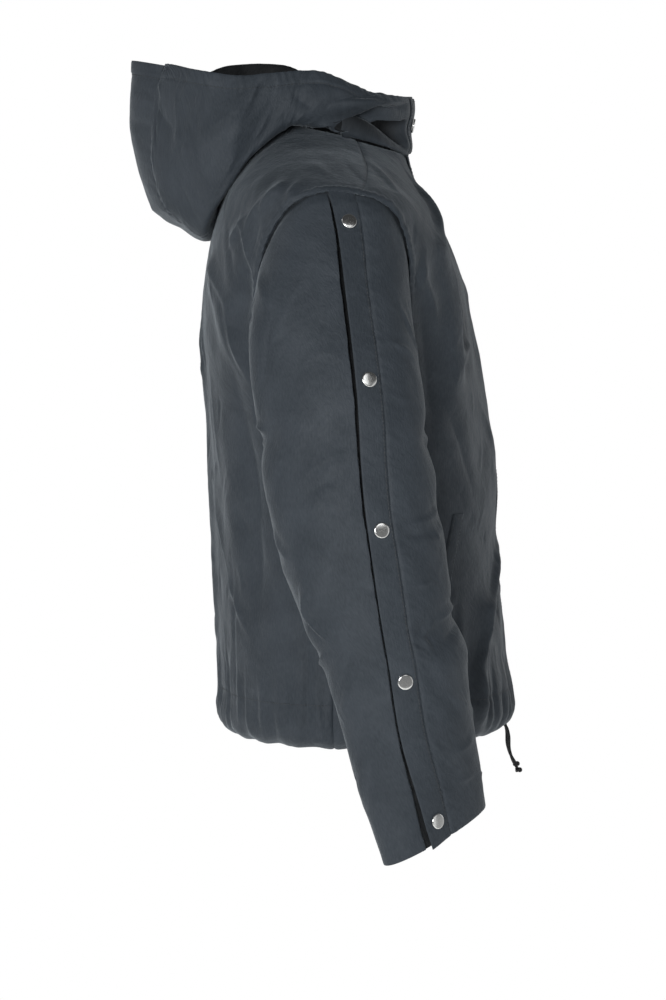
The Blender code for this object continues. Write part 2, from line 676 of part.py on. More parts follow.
def throat_tab():
    """Closing tab on the hood's front, moved out from the first points of both hood sides."""
    height = np.clip(grid(HOOD_CELLS)[1][0], TAB_EDGE, 1 - TAB_EDGE)
    centre = hood(np.full(height.shape, HOOD_EDGE), height, 1) * np.array([0.0, 1.0, 1.0])
    next_points = hood(np.full(height.shape, LAST_STATION / HOOD_CELLS[0]), height, 1)
    edge = centre + (next_points - centre) * TAB_REACH
    base = np.stack([mirrored(edge, -1), centre, edge])
    out = np.array([0.0, -1.0, 0.0])
    return base + out * (2 * SEAM + STRIP_WALL), base + out * 2 * SEAM


def pocket_welt(side):
    share, along = grid(WELT_CELLS, 0.0, 1.0)
    angle = POCKET_TOP[0] + (POCKET_BOTTOM[0] - POCKET_TOP[0]) * along + WELT_WIDTH * share
    level = POCKET_TOP[1] + (POCKET_BOTTOM[1] - POCKET_TOP[1]) * along
    normal = torso_normal(angle, level)
    base = torso(angle, level)
    return mirrored(base + normal * (3 * SEAM + WALL), side), mirrored(base + normal * 3 * SEAM, side)


def material(name, colour, metallic, roughness):
    made = bpy.data.materials.new(name)
    made.use_nodes = True
    shader = made.node_tree.nodes["Principled BSDF"]
    shader.inputs["Base Color"].default_value = colour
    shader.inputs["Metallic"].default_value = metallic
    shader.inputs["Roughness"].default_value = roughness
    return made


def clear_scene():
    for old in list(bpy.data.objects):
        bpy.data.objects.remove(old, do_unlink=True)


def add(name, data, look):
    """Puts a shape into the jacket's collection with a material of its own."""
    made = bpy.data.objects.new(name, data)
    data.materials.append(material(name, *look))
    bpy.data.collections[NAME].objects.link(made)
    return made


def panel(name, skins, look=(CLOTH, 0.0, 0.75)):
    """A cloth wall: a grid thickened to two skins, whose points are set on the outer and inner form."""
    outer, inner = skins
    columns, rows = outer.shape[:2]
    mesh = bmesh.new()
    bmesh.ops.create_grid(mesh, x_segments=columns - 1, y_segments=rows - 1, size=0.5)
    grown = bmesh.ops.extrude_face_region(mesh, geom=mesh.faces[:])
    for vertex in (part for part in grown["geom"] if isinstance(part, bmesh.types.BMVert)):
        vertex.co.z = 1.0
    for vertex in mesh.verts:
        i = round((vertex.co.x + 0.5) * (columns - 1))
        j = round((vertex.co.y + 0.5) * (rows - 1))
        vertex.co = outer[i, j] if vertex.co.z > 0.5 else inner[i, j]
    bmesh.ops.recalc_face_normals(mesh, faces=mesh.faces[:])
    if mesh.calc_volume(signed=True) < 0:
        bmesh.ops.reverse_faces(mesh, faces=mesh.faces[:])
    data = bpy.data.meshes.new(name)
    mesh.to_mesh(data)
    mesh.free()
    return add(name, data, look)


def snap(name, place, normal):
    """Snap cap: its profile turned round the axis that stands on the cloth."""
    mesh = bmesh.new()
    ring = [mesh.verts.new((SNAP_RADIUS * share, 0.0, height)) for share, height in SNAP_PROFILE]
    edges = [mesh.edges.new(pair) for pair in zip(ring[:-1], ring[1:])]
    bmesh.ops.spin(mesh, geom=ring + edges, axis=(0, 0, 1), cent=(0, 0, 0), steps=SNAP_SIDES, angle=2 * np.pi)
    bmesh.ops.remove_doubles(mesh, verts=mesh.verts[:], dist=0.00005)
    bmesh.ops.recalc_face_normals(mesh, faces=mesh.faces[:])
    turned = Vector(normal).to_track_quat("Z", "Y").to_matrix().to_4x4()
    moved = Matrix.Translation(Vector(place) + Vector(normal) * SNAP_STAND)
    bmesh.ops.transform(mesh, matrix=moved @ turned, verts=mesh.verts[:])
    data = bpy.data.meshes.new(name)
    mesh.to_mesh(data)
    mesh.free()
    add(name, data, (METAL, 1.0, 0.25))


def seat(line, height):
    """Place and normal of a flat cap laid against a line of points that climbs the front."""
    reach = np.array([height - SNAP_RADIUS, height, height + SNAP_RADIUS])
    low, middle, high = np.stack([np.zeros(3), np.interp(reach, line[:, 2], line[:, 1]), reach], axis=-1)
    climb = unit(high - low)
    normal = np.array([0.0, -climb[2], climb[1]])
    base = (low + high) / 2
    return base + normal * max(0.0, (middle - base) @ normal), normal


def sleeve_snap_places():
    """Places and normals of the snaps down the middle of the +X sleeve's placket."""
    along = np.linspace(0, 1, 401)
    free, seam = placket_edges(along)
    middle = (free + seam) / 2
    line = sleeve(middle, along)
    length = np.concatenate([[0], np.cumsum(np.linalg.norm(np.diff(line, axis=0), axis=-1))])
    at = np.interp(SLEEVE_SNAP_LENGTHS, length, along)
    half = np.full(at.shape, 0.5)
    return strip(half, at), strip_normal(half, at)


def cord(name, side):
    data = bpy.data.curves.new(name, "CURVE")
    data.dimensions = "3D"
    data.bevel_depth = CORD_RADIUS
    data.bevel_resolution = 1
    data.use_fill_caps = True
    line = data.splines.new("POLY")
    line.points.add(len(CORD_LINE) - 1)
    for point, (y, z) in zip(line.points, CORD_LINE):
        point.co = (side * CORD_X, y, z, 1.0)
    add(name, data, (CORD, 0.0, 0.8))


def knot(name, side):
    mesh = bmesh.new()
    bmesh.ops.create_icosphere(mesh, subdivisions=2, radius=KNOT_RADIUS)
    bmesh.ops.translate(mesh, vec=(side * CORD_X, *KNOT_CENTRE), verts=mesh.verts[:])
    data = bpy.data.meshes.new(name)
    mesh.to_mesh(data)
    mesh.free()
    add(name, data, (CORD, 0.0, 0.8))


def build_body():
    u, v = body_grid(BACK_COLUMNS, FINE_SHARE)
    cut = back_cut(u, v)
    panel("back", on_body(cut, 180, gathered(u, cut, 2 * GATHERS)))
    u, v = body_grid(FRONT_COLUMNS)
    cut = front_cut(u, v, FRONT_PLACKET / 2 + SEAM)
    panel("front_left", on_body(cut, 0, gathered(u, cut, GATHERS)))
    u[: NECK_COLUMNS + 1] = np.clip(CLOSURE_SHARES, SEAM_SHARE, 1)[:, None]
    cut = front_cut(u, v, FRONT_PLACKET / 2 - UNDERLAP)
    sunk = DIP * ease(1 - (cut[..., 0] - FRONT_PLACKET / 2 - DIP_FLAT) / DIP_RUN)
    outer, inner = on_body(cut, 0, sunk + gathered(u, cut, GATHERS))
    panel("front_right", (mirrored(outer, -1), mirrored(inner, -1)))
    share, along = body_grid(FRONT_STRIP_COLUMNS)
    cut = np.stack([FRONT_PLACKET * (share - 0.5), HEM_LEVEL + (NECK_LEVEL - HEM_LEVEL) * along], axis=-1)
    skins = on_body(cut, 0)
    panel("front_placket", skins)
    for index, level in enumerate(FRONT_SNAP_LEVELS, start=1):
        snap(f"snap_front_{index}", *seat(skins[0][1], level))
    panel("pocket_welt_right", pocket_welt(-1))
    panel("pocket_welt_left", pocket_welt(1))


def build_sleeves():
    for word, side in (("right", -1), ("left", 1)):
        for part, skins in (
            ("front", sleeve_front_half()),
            ("back", sleeve_back_half()),
            ("placket", sleeve_strip()),
        ):
            panel(f"sleeve_{word}_{part}", (mirrored(skins[0], side), mirrored(skins[1], side)))
        places, normals = sleeve_snap_places()
        for index, (place, normal) in enumerate(zip(mirrored(places, side), mirrored(normals, side)), start=1):
            snap(f"snap_sleeve_{word}_{index}", place, normal)


def build_hood():
    panel("hood_right", hood_side(-1))
    panel("hood_left", hood_side(1))
    panel("hood_gusset", hood_gusset())
    skins = throat_tab()
    panel("throat_tab", skins)
    snap("snap_throat", *seat(skins[0][1], THROAT_SNAP_HEIGHT))


def build_cords():
    for word, side in (("right", -1), ("left", 1)):
        cord(f"drawcord_{word}", side)
        knot(f"knot_{word}", side)


clear_scene()
bpy.context.scene.collection.children.link(bpy.data.collections.new(NAME))
build_body()
build_sleeves()
build_hood()
build_cords()
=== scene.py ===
"""Looks of the hooded snap-front jacket: cloth shells with creases, stitching, snaps and drawcords.

Metres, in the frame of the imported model: +Z up, the front faces -Y, the wearer's right is -X and the
origin is the middle of the neck base. Lengths in the long tables are millimetres and are divided at the
table's end. Every cloth piece is a grid of points on the form of its solid, moved along its normals by
creases, gathers and seams, and then given a thin wall.
"""

from functools import partial

import bpy
import numpy as np
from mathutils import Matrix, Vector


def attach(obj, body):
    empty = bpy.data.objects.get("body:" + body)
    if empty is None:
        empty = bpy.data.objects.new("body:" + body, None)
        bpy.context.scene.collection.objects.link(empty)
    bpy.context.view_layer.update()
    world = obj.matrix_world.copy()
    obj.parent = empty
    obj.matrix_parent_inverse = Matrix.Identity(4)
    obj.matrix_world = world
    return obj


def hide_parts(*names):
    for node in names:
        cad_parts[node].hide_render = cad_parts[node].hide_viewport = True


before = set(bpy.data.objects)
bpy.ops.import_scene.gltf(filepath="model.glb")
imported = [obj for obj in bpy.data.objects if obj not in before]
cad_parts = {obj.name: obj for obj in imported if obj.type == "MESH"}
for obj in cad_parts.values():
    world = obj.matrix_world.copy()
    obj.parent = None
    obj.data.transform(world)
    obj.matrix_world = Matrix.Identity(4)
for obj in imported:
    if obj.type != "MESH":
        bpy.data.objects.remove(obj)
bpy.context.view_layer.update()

# Lengths in the tables are millimetres: what divides them, and what divides the columns of a crease that is
# placed by turns, stations or shares
MM = 1000
CREASE_UNITS = (1, 1, 1, 1, MM, MM, MM, 1)
# The wearer's two sides
SIDES = (("right", -1), ("left", 1))
# Middle of a share across
MIDDLE = 0.5

# Camera: place, point it looks at, lens and film in mm
CAMERA_PLACE = (-3.0, 0.024, -0.16)
CAMERA_TARGET = (0.0, 0.024, -0.36)
LENS = 108.24
FILM = 36.0

# Cloth and seams: walls, gap at a seam, groove beside it, lip at the armhole, what is turned in and sunk at
# a sewn edge, and the scant turning of the others
CLOTH_WALL = 0.0009
STRIP_WALL = 0.0007
SEAM = 0.0003
GROOVE_DEPTH = 0.0013
GROOVE_RUN = 0.0032
LIP_HEIGHT = 0.0010
LIP_PLACE = 0.0040
LIP_HALF = 0.0030
TURN_IN = 0.0030
TURN_SINK = 0.0020
SCANT = 0.0002
# Rolled edges: depth, and the distance over which it fades
HEM_ROLL = (0.0005, 0.0020)
EDGE_ROLL = (0.0004, 0.0012)
RIM_ROLL = (0.0008, 0.0012)
TAB_ROLL = (0.0008, 0.0009)
WELT_ROLL = (0.0011, 0.0012)
# Puckers of sewn edges: height and reach at the armhole, beside a sleeve's strip, on the strip, along the
# hood's and the gusset's seam; then their length, and the lengths and amounts by which they drift
HOLE_PUCKER = (0.0006, 0.011)
SLEEVE_PUCKER = (0.00028, 0.016)
STRIP_PUCKER = (0.0003, 0.009)
HOOD_PUCKER = (0.0007, 0.010)
GUSSET_PUCKER = (0.0007, 0.012)
PUCKER_LENGTH = 0.0105
PUCKER_DRIFTS = ((0.043, 1.8), (0.117, 1.1))

# Section of a crease: how round its top is and how steep its sides, depth and place of the hollow beside it;
# then its height at its ends, and the share of its length over which it rises from there
CREST_ROUND = 0.6
CREST_STEEP = 2.6
HOLLOW_DEPTH = 0.2
HOLLOW_PLACE = 2.4
END_HEIGHT = 0.25
END_RISE = 0.35

# Small wrinkles between the creases: ranges of their length, half width, height, bow as a share of the
# length and lean, spread of their slants in degrees, and the share of them that goes in
WRINKLE_LENGTHS = (0.010, 0.040)
WRINKLE_HALVES = (0.0020, 0.0038)
WRINKLE_HEIGHTS = (0.0004, 0.0011)
WRINKLE_BOWS = (-0.12, 0.12)
WRINKLE_LEANS = (-0.3, 0.3)
WRINKLE_SLANTS = 32.0
WRINKLE_IN = 0.4

# Steps by which normals are measured on the body, a sleeve and a placed surface; numbers of steps or degrees
# by which lengths are summed and searched
TORSO_STEPS = (0.5, 0.0005)
SLEEVE_STEPS = (0.5, 0.002)
SEAT_STEPS = (0.2, 0.008)
GIRTH_STEPS = 64
SWEEP_DEGREES = 130
ARMHOLE_STEPS = 1440
HOLE_STEP = 2.5
SNAP_SEARCH = 401

# Body sections from the hem up: polar superellipses round a centre line.
# level, centre y, depth to the front, depth to the back, half width, squareness, forward tilt
BODY = np.array(
    [
        (-584, 10, 150, 117, 184, 2.3, 0),
        (-578, 10, 160, 125, 193, 2.3, 0),
        (-566, 10, 167, 129, 200, 2.35, 0),
        (-548, 10, 166, 128, 202, 2.4, 0),
        (-510, 10, 158, 129, 203, 2.4, 0),
        (-460, 10, 154, 130, 204, 2.4, 0),
        (-400, 10, 148, 132, 206, 2.4, 0),
        (-350, 10, 150, 134, 206, 2.4, 0),
        (-300, 10, 144, 137, 207, 2.4, 1),
        (-240, 10, 134, 140, 211, 2.4, 3),
        (-180, 10, 123, 143, 219, 2.4, 6),
        (-130, 10, 113, 138, 229, 2.4, 10),
        (-90, 10, 99, 128, 236, 2.3, 13),
        (-62, 12, 88, 115, 231, 2.2, 15),
        (-46, 16, 82, 102, 200, 2.1, 16),
        (-28, 20, 78, 85, 150, 2, 17),
        (-10, 23, 76, 66, 98, 2, 18),
        (0, 24, 75, 53, 76, 2, 18),
    ]
) / (MM, MM, MM, MM, MM, 1, MM)
# Levels of hem and neck, middle of the body, angle of the side seam, share of a panel's side edge that is
# side seam, share over which that seam's groove fades at the armhole, share of its top edge that is neckline
HEM_LEVEL = BODY[0, 0]
NECK_LEVEL = 0.0
BODY_MIDDLE = np.array([0.0, BODY[0, 1], (HEM_LEVEL + NECK_LEVEL) / 2])
SIDE_ANGLE = 94.0
SIDE_SHARE = 0.5
SIDE_FADE = 0.02
NECK_SHARE = 1 / 3

# Armhole: an egg on the body's surface, given by its levels, the lean of its top towards the front
# and the angles it reaches from its middle
ARMHOLE_TOP = -0.060
ARMHOLE_UNDER = -0.285
ARMHOLE_LEAN = 2.0
ARMHOLE_FRONT = 18.2
ARMHOLE_BACK = 21.5
ARMHOLE_FRONT_SQUARE = 3.0
ARMHOLE_BACK_SQUARE = 2.0
ARMHOLE_EASE = 0.006

# Shoulder seam: from this angle on the neckline to this turn round the armhole
SHOULDER_ANGLE = 72.0
SHOULDER_TURN = 12.5

# Large folds of the body, alike on both sides
# start angle, start level, end angle, end level, half width, height
BODY_FOLDS = np.array(
    [
        (43, -40, 60.5, -108, 13, 4),
        (60.5, -108, 55, -225, 14, 4.5),
        (142, -140, 118, -232, 14, 5),
        (117, -140, 122, -185, 12, -4),
        (23, -406, 42.5, -457, 14, 4),
        (42.5, -457, 50, -545, 14, 4.5),
        (166, -210, 158, -480, 18, 4),
        (22, -150, 30, -330, 16, 3),
    ]
) / (1, MM, 1, MM, MM, MM)
BODY_SCALE = (0.0031, 1.0)

# Creases of the body; an angle below zero is on the wearer's right
# start angle, start level, end angle, end level, half width, height, bow, lean
BODY_CREASES = np.array(
    [
        (-79, -70, -75.5, -140, 5, 4, 0, 0.3),
        (-84, -74, -79, -120, 3, -1.8, 0, 0),
        (-43, -30, -59, -102, 8, 4.5, -3, 0.4),
        (-58, -98, -55, -222, 8, 5, 4, -0.4),
        (-56, -222, -42, -195, 7, 4, 2, 0.2),
        (-70, -130, -64, -180, 6, 3, 0, 0),
        (-24, -400, -43, -458, 6, 4.2, 3, 0.4),
        (-42, -455, -50, -515, 6, 4.6, 2, 0.4),
        (-49, -505, -50, -560, 6, 4, 0, 0.3),
        (-143, -135, -126, -172, 4.2, 2.4, 3, 0.3),
        (-128, -165, -118, -236, 3.9, 2.6, -3, 0.3),
        (-122, -90, -115, -145, 3.6, 3.1, 3, 0.3),
        (-112.5, -86, -117, -136, 3.3, -2.2, 0, 0),
        (-131, -98, -123, -142, 4.2, -1.8, 2, 0),
        (-152, -355, -134, -418, 4.2, 2.2, 4, 0.3),
        (-136, -410, -121, -478, 4.2, 2.4, -3, 0.3),
        (-128, -350, -116, -430, 6.6, -2.2, 3, 0),
        (-147, -230, -139, -330, 7.2, 1.8, 5, 0.2),
        (-36, -262, -24, -330, 6, 1.8, 4, 0.2),
        (-62, -260, -50, -345, 6, -2, 4, 0),
        (-70, -150, -66, -285, 13, -7, 3, 0),
        (-118, -140, -120, -185, 10, -4, 2, 0),
        (-124, -240, -117, -470, 15, -9, 6, 0),
        (70, -160, 67, -290, 13, -6, 3, 0),
        (123, -250, 117, -450, 15, -8, 6, 0),
        (-104.5, -76, -100.5, -50, 3.4, 2.8, 1, 0.2),
        (-108.5, -74, -105, -52, 3.6, 3.2, 1, 0.3),
        (-113, -88, -107.5, -60, 4, 3.4, 2, 0.3),
        (-119, -104, -112, -72, 4.4, 3.6, 2, 0.3),
        (-127, -120, -118, -86, 4.4, 3, 2, 0.2),
        (-100, -34, -93, -46, 3.6, 1.8, 1, 0),
        (-88, -30, -84, -52, 3.4, -1, 1, 0),
        (-76, -24, -75, -58, 4, 2.4, 1, 0.3),
        (-69, -120, -71.5, -152, 3.8, 2.4, 1, 0.2),
        (101.5, -74, 98, -50, 3.2, 1.2, 1, 0.2),
        (110, -84, 104, -56, 3.6, 1.4, 2, 0.3),
        (121, -106, 113, -78, 4, 1.4, 2, 0.3),
        (76, -26, 77, -56, 3.6, 1.2, 1, 0.3),
        (79, -76, 75, -150, 3.6, 2.6, 0, 0.3),
        (46, -40, 58, -120, 8, 4.2, 3, 0.4),
        (59, -120, 50, -232, 8, 4.5, -4, 0.3),
        (53, -212, 36, -176, 3.6, 1.5, 2, 0),
        (20, -372, 38, -446, 6, 4, -3, 0.3),
        (39, -440, 55, -550, 6, 4.2, 4, 0.3),
        (70, -300, 58, -372, 6, -2, 4, 0),
        (24, -110, 33, -190, 6, 1.5, 3, 0),
        (140, -150, 121, -212, 4.5, 2.6, -3, 0.3),
        (123, -205, 112, -290, 4.2, 2.2, 4, 0.3),
        (120, -92, 114, -150, 3.6, 2.6, 0, 0.3),
        (150, -330, 130, -430, 4.8, 2.2, -4, 0.3),
        (132, -425, 118, -492, 4.2, 2.2, 3, 0.3),
        (172, -120, 166, -215, 6, -1.8, 3, 0),
        (-169, -150, -160, -262, 6.6, 2, 4, 0.2),
        (178, -300, -173, -440, 7.2, 2, 5, 0.2),
        (-166, -400, -158, -500, 6, -1.8, 4, 0),
        (160, -360, 168, -470, 6, 2, 3, 0.2),
    ]
) / (1, MM, 1, MM, MM, MM, MM, 1)

# Gathers of the hem: the solid's own on a front, doubled on the back, with the run that stays clear of them
GATHERS = 6
GATHER_DEPTH = 0.0018
GATHER_RISE = 0.095
GATHER_CLEAR = 0.026
# The uneven ones of the drawn channel: number, level of their feet, seed, and ranges of their shift in steps,
# foot, length, half width, height, lean, bow and slant in degrees; some are longer by up to a length
FINE_GATHERS = 118
FINE_GATHER_FOOT = -0.582
GATHER_SEED = 11
GATHER_SHIFTS = (-0.42, 0.42)
GATHER_FEET = (-0.004, 0.012)
GATHER_LENGTHS = (0.035, 0.085)
GATHER_LONGER = 0.10
GATHER_HALVES = (0.0026, 0.0052)
GATHER_HEIGHTS = (0.0010, 0.0030)
GATHER_LEANS = (-0.3, 0.3)
GATHER_BOWS = (-0.003, 0.003)
GATHER_SLANTS = (-2.2, 2.2)
# The channel's stitched line: level, depth and half width of its pinch, what varies that round the hem by
# amount, rate and shift, and the degrees either side of the front centre that stay clear
CHANNEL_LEVEL = -0.540
CHANNEL_PINCH = 0.0012
CHANNEL_HALF = 0.0045
CHANNEL_EVEN = 0.45
CHANNEL_WAVES = ((0.3, 7, 0.6), (0.25, 17, 2.2))
CHANNEL_CLEAR = 8.0

# Crumple of the cloth all over: wavelength and height of each grade; number of waves in it, spread of their
# lengths, what evens out their sum, and the weights of wave and crest with the crest's level
CRUMPLE = ((0.085, 0.0006), (0.034, 0.00022), (0.015, 0.00008))
CRUMPLE_SEED = 40
CRUMPLE_WAVES = 12
CRUMPLE_SPREAD = (0.7, 1.6)
CRUMPLE_EVEN = 2.4
CRUMPLE_MIX = (0.6, 0.8, 0.6)

# Front placket: its width, the underlap below it, how the cloth dips there, and its gap to the hood
FRONT_PLACKET = 0.030
UNDERLAP = 0.020
DIP = 0.0025
DIP_FLAT = 0.008
DIP_RUN = 0.014
FRONT_TOP_GAP = 0.0004

# Sleeve rings from below the armhole to the cuff: the ring passes through these four points.
# The lean is how far its front swings in to the body.
# front y, front z, back y, back z, outer x, outer z, inner x, inner z, lean
SLEEVE = np.array(
    [
        (-52, -200, 101, -190, 256, -130, 210.5, -294, 0),
        (-64, -275, 93, -272, 296, -245, 213.5, -322, 0),
        (-74, -347, 85, -335, 314, -340, 216.5, -362, 0),
        (-83, -412, 67.5, -408, 320, -415, 218.5, -422, 0),
        (-96, -482, 36, -482, 320, -485, 222, -486, 3),
        (-106, -553, 15.5, -556, 314, -557, 226, -556, 8),
        (-113, -598, -3, -618, 307, -611, 229, -608, 14),
        (-117, -627, -21.5, -674, 303, -653, 232, -648, 20),
    ]
) / MM
# Sleeve placket on the armhole and on each ring: turn of its free edge in degrees, lift of that edge,
# width of the gap that stays open beside it
SLEEVE_EDGE = np.array(
    [
        (-4.5, 1.2, 2),
        (6, 3, 3.2),
        (8.5, 2.8, 3.4),
        (6.5, 1.6, 2.4),
        (4.5, 1.4, 1.9),
        (-4, 1.4, 2.1),
        (-7.5, 2, 2.4),
        (-6, 6, 3.8),
        (-6.5, 9.5, 4.4),
    ]
) / (1, MM, MM)
# Its width, where beside the free edge that is measured, how its lift falls off, and the ease of the underarm
SLEEVE_PLACKET = 0.025
BESIDE_EDGE = 5
LIFT_POWER = 1.4
UNDERARM_EASE = 0.35
# How far the strip's free edge bows out between its snaps, and the share of the creases that reaches it
STRIP_BOW = (0.0010, 0.0005, 0.0006, 0.0008)
STRIP_CALM = 0.45
# Cross-section of a folded strip: share across and depth of its turned-under layer and its free edge, then
# the shares of its flat face, and its turned-in seam
STRIP_FOLD = (
    (0.6, -1.9),
    (0.4, -1.9),
    (0.2, -1.9),
    (0.08, -1.9),
    (0.03, -1.8),
    (0.005, -1.5),
    (-0.01, -1),
    (0, -0.4),
    (0.025, -0.1),
)
STRIP_FACE = (0.06, 0.12, 0.2, 0.3, 0.4, 0.5, 0.6, 0.7, 0.8, 0.88, 0.93, 0.97, 1)
STRIP_SEAM = (1.07, -2.4)
STRIP_SECTION = np.array([*STRIP_FOLD, *((share, 0) for share in STRIP_FACE), STRIP_SEAM]) / (1, MM)
# Dimple that a snap presses into its strip
SNAP_DIMPLE = 0.0006
SNAP_DIMPLE_HALF = 0.011
# Gap beside the strip: lines of the back half close together near it, by their distance from the end of its
# underlap; its depth, its steepness, the amount and two rates of its waver, where it begins below the head,
# and where, how fast and how much it closes towards the cuff
NEAR_LINES = np.array(
    [0, 4, 9, 14, 17, 19, 20, 20.6, 21.2, 21.8, 22.4, 23, 23.6, 24.2, 24.9, 25.8, 27, 29, 32]
) / MM
GAP_DEPTH = 0.0090
GAP_STEEP = 0.0014
GAP_WAVER = 0.0002
GAP_WAVES = (61, 143)
GAP_START = 0.02
GAP_CLOSES = (0.80, 0.14, 0.70)
# Head of a sleeve: seam allowance past the armhole and below the body, how far the sleeve sinks there and
# recovers, height, number and reach of its puckers, where creases begin, and the painted shade of the seam's
# crease with its reach
CAP_TUCK = 0.0040
CAP_DEPTH = 0.0045
CAP_SINK = 0.0030
CAP_RUN = 0.012
CAP_PUCKER = 0.0004
CAP_PUCKERS = 15
CAP_PUCKER_RUN = 0.020
CAP_CALM = 0.030
CAP_PAINTED_SHADE = (0.72, 0.0034)

# Large folds of a sleeve, alike on both
# start turn, start share along, end turn, end share along, half width, height
SLEEVE_FOLDS = np.array(
    [
        (0, 0.36, -40, 0.405, 20, -1.8),
        (-62, 0.32, -110, 0.29, 18, -4.5),
        (-48, 0.57, -76, 0.645, 18, 4.5),
        (36, 0.64, 100, 0.595, 18, -5.5),
        (40, 0.69, 105, 0.665, 18, 3.5),
        (40, 0.45, 88, 0.41, 18, -3.5),
        (74, 0.315, 112, 0.24, 18, -4),
        (150, 0.6, 212, 0.58, 20, -4),
        (140, 0.33, 200, 0.31, 20, -3.5),
    ]
) / (1, 1, 1, 1, MM, MM)
SLEEVE_SCALE = (0.0014, 0.62)
# A turn jumps by a full circle this many degrees below zero, between the ends of the folds
SLEEVE_WRAP = 120

# Creases of each sleeve; a turn below zero is on its back
# start turn, start share along, end turn, end share along, half width, height, bow, lean
SLEEVE_CREASES = {
    "right": (
        (110, 0.585, 45, 0.622, 4.8, 3, 3, -0.2),
        (46, 0.62, 30, 0.645, 4, 2.6, 1, -0.2),
        (30, 0.64, 34, 0.672, 4, 2.2, -1, 0.2),
        (95, 0.625, 48, 0.655, 4.2, -2.6, 2, 0),
        (-50, 0.572, -66, 0.62, 3.6, 3.3, 2, 0.4),
        (-64, 0.615, -52, 0.652, 3.6, 2.6, 1, -0.3),
        (38, 0.452, 88, 0.408, 3.6, 2.4, 3, 0.3),
        (30, 0.47, 70, 0.455, 3.6, -1.8, 2, 0),
        (116, 0.215, 74, 0.316, 3.6, 2.9, -3, 0.3),
        (116, 0.06, 98, 0.178, 3.6, 2.9, 3, 0.3),
        (38, 0.192, 64, 0.174, 3, 2, 1, 0),
        (52, 0.11, 84, 0.135, 4.2, 1.5, 2, 0),
        (4, 0.352, -42, 0.408, 5.4, 2.2, 4, 0.3),
        (-2, 0.385, -38, 0.43, 5.4, -1.8, 3, 0),
        (-96, 0.255, -70, 0.3, 3.6, 3.3, 2, 0.3),
        (-84, 0.012, -76, 0.11, 4.2, -2.2, 2, 0),
        (-62, 0.03, -48, 0.15, 5.4, 2.2, 4, 0.2),
        (-40, 0.13, -66, 0.235, 6, -1.5, 3, 0),
        (-95, 0.706, -58, 0.676, 3.6, 2.9, -2, 0.3),
        (-90, 0.48, -58, 0.52, 5.4, 2.2, 3, 0.2),
        (-20, 0.7, -62, 0.77, 6, 1.5, 4, 0.2),
        (-30, 0.84, -80, 0.905, 6.6, 1.5, 3, 0.2),
        (38, 0.74, 80, 0.77, 4.8, 1.5, 3, 0.2),
        (40, 0.85, 78, 0.82, 4.8, 1.5, 3, 0.2),
        (34, 0.905, 66, 0.9, 3.6, 1.1, 2, 0),
        (30, 0.555, 50, 0.548, 2.7, 1.3, 1, 0),
        (34, 0.27, 58, 0.262, 3, 1.1, 1, 0),
        (150, 0.12, 205, 0.2, 4.8, 2.9, 4, 0.3),
        (160, 0.26, 215, 0.36, 4.8, 2.6, 4, 0.3),
        (140, 0.45, 205, 0.5, 4.8, 2.6, 3, 0.3),
        (150, 0.67, 210, 0.64, 4.8, 2.9, 3, 0.3),
        (150, 0.78, 215, 0.81, 4.8, 2.4, 3, 0.3),
    ),
    "left": (
        (104, 0.56, 50, 0.6, 4.8, 3, 4, -0.2),
        (52, 0.598, 34, 0.64, 3.6, 2.9, 2, 0.3),
        (98, 0.66, 58, 0.64, 4.2, -2.4, 2, 0),
        (-46, 0.54, -74, 0.61, 4.2, 3.3, 3, 0.4),
        (-70, 0.63, -50, 0.668, 3.6, 2.4, 1, -0.3),
        (36, 0.43, 80, 0.395, 4.2, 2.4, 3, 0.3),
        (112, 0.235, 70, 0.33, 4.2, 2.9, -3, 0.3),
        (110, 0.07, 92, 0.2, 4.2, 2.6, 3, 0.3),
        (36, 0.15, 66, 0.17, 3.6, 1.8, 1, 0),
        (0, 0.33, -38, 0.376, 5.4, 2.2, 4, 0.3),
        (-6, 0.47, -44, 0.5, 6, -1.8, 3, 0),
        (-100, 0.27, -66, 0.32, 4.2, 3.3, 2, 0.3),
        (-80, 0.015, -70, 0.12, 4.8, -2.2, 2, 0),
        (-54, 0.04, -40, 0.17, 5.4, 2, 4, 0.2),
        (-98, 0.72, -60, 0.7, 4.2, 2.6, -2, 0.3),
        (-24, 0.69, -60, 0.74, 6, 1.5, 4, 0.2),
        (-36, 0.82, -84, 0.88, 6.6, 1.8, 3, 0.2),
        (36, 0.76, 84, 0.745, 4.8, 1.8, 3, 0.2),
        (38, 0.88, 74, 0.86, 4.2, 1.3, 3, 0.2),
        (150, 0.14, 210, 0.19, 4.8, 2.9, 4, 0.3),
        (145, 0.29, 205, 0.345, 4.8, 2.6, 4, 0.3),
        (150, 0.48, 212, 0.46, 4.8, 2.6, 3, 0.3),
        (146, 0.64, 205, 0.67, 4.8, 2.6, 3, 0.3),
        (150, 0.8, 210, 0.78, 4.8, 2.4, 3, 0.3),
    ),
}
SLEEVE_CREASES = {part: np.array(rows) / CREASE_UNITS for part, rows in SLEEVE_CREASES.items()}

# Hood stations along the neckline from the front centre to the gusset's corner at the nape.
# neck angle, rim x, rim y, rim z, foot reach, foot z, belly reach, belly z, throat fold
HOOD_NECK = np.array(
    [
        (0, 0, -54.5, 40.5, 2, 0, 0, 20, 1.2),
        (36, 44, -40, 38.5, 4, 2, 2, 20, 4),
        (72, 68, -7, 43.5, 8, 6, 12, 20, 9),
        (95.6, 82, 31, 58.5, 22, 6, 18, 16, 4),
        (119.5, 88, 54, 60, 40, 4, 20, 4, 0),
        (139, 91, 70, 58.5, 46, 2, 20, -10, 0),
    ]
) / (1, MM, MM, MM, MM, MM, MM, MM, MM)
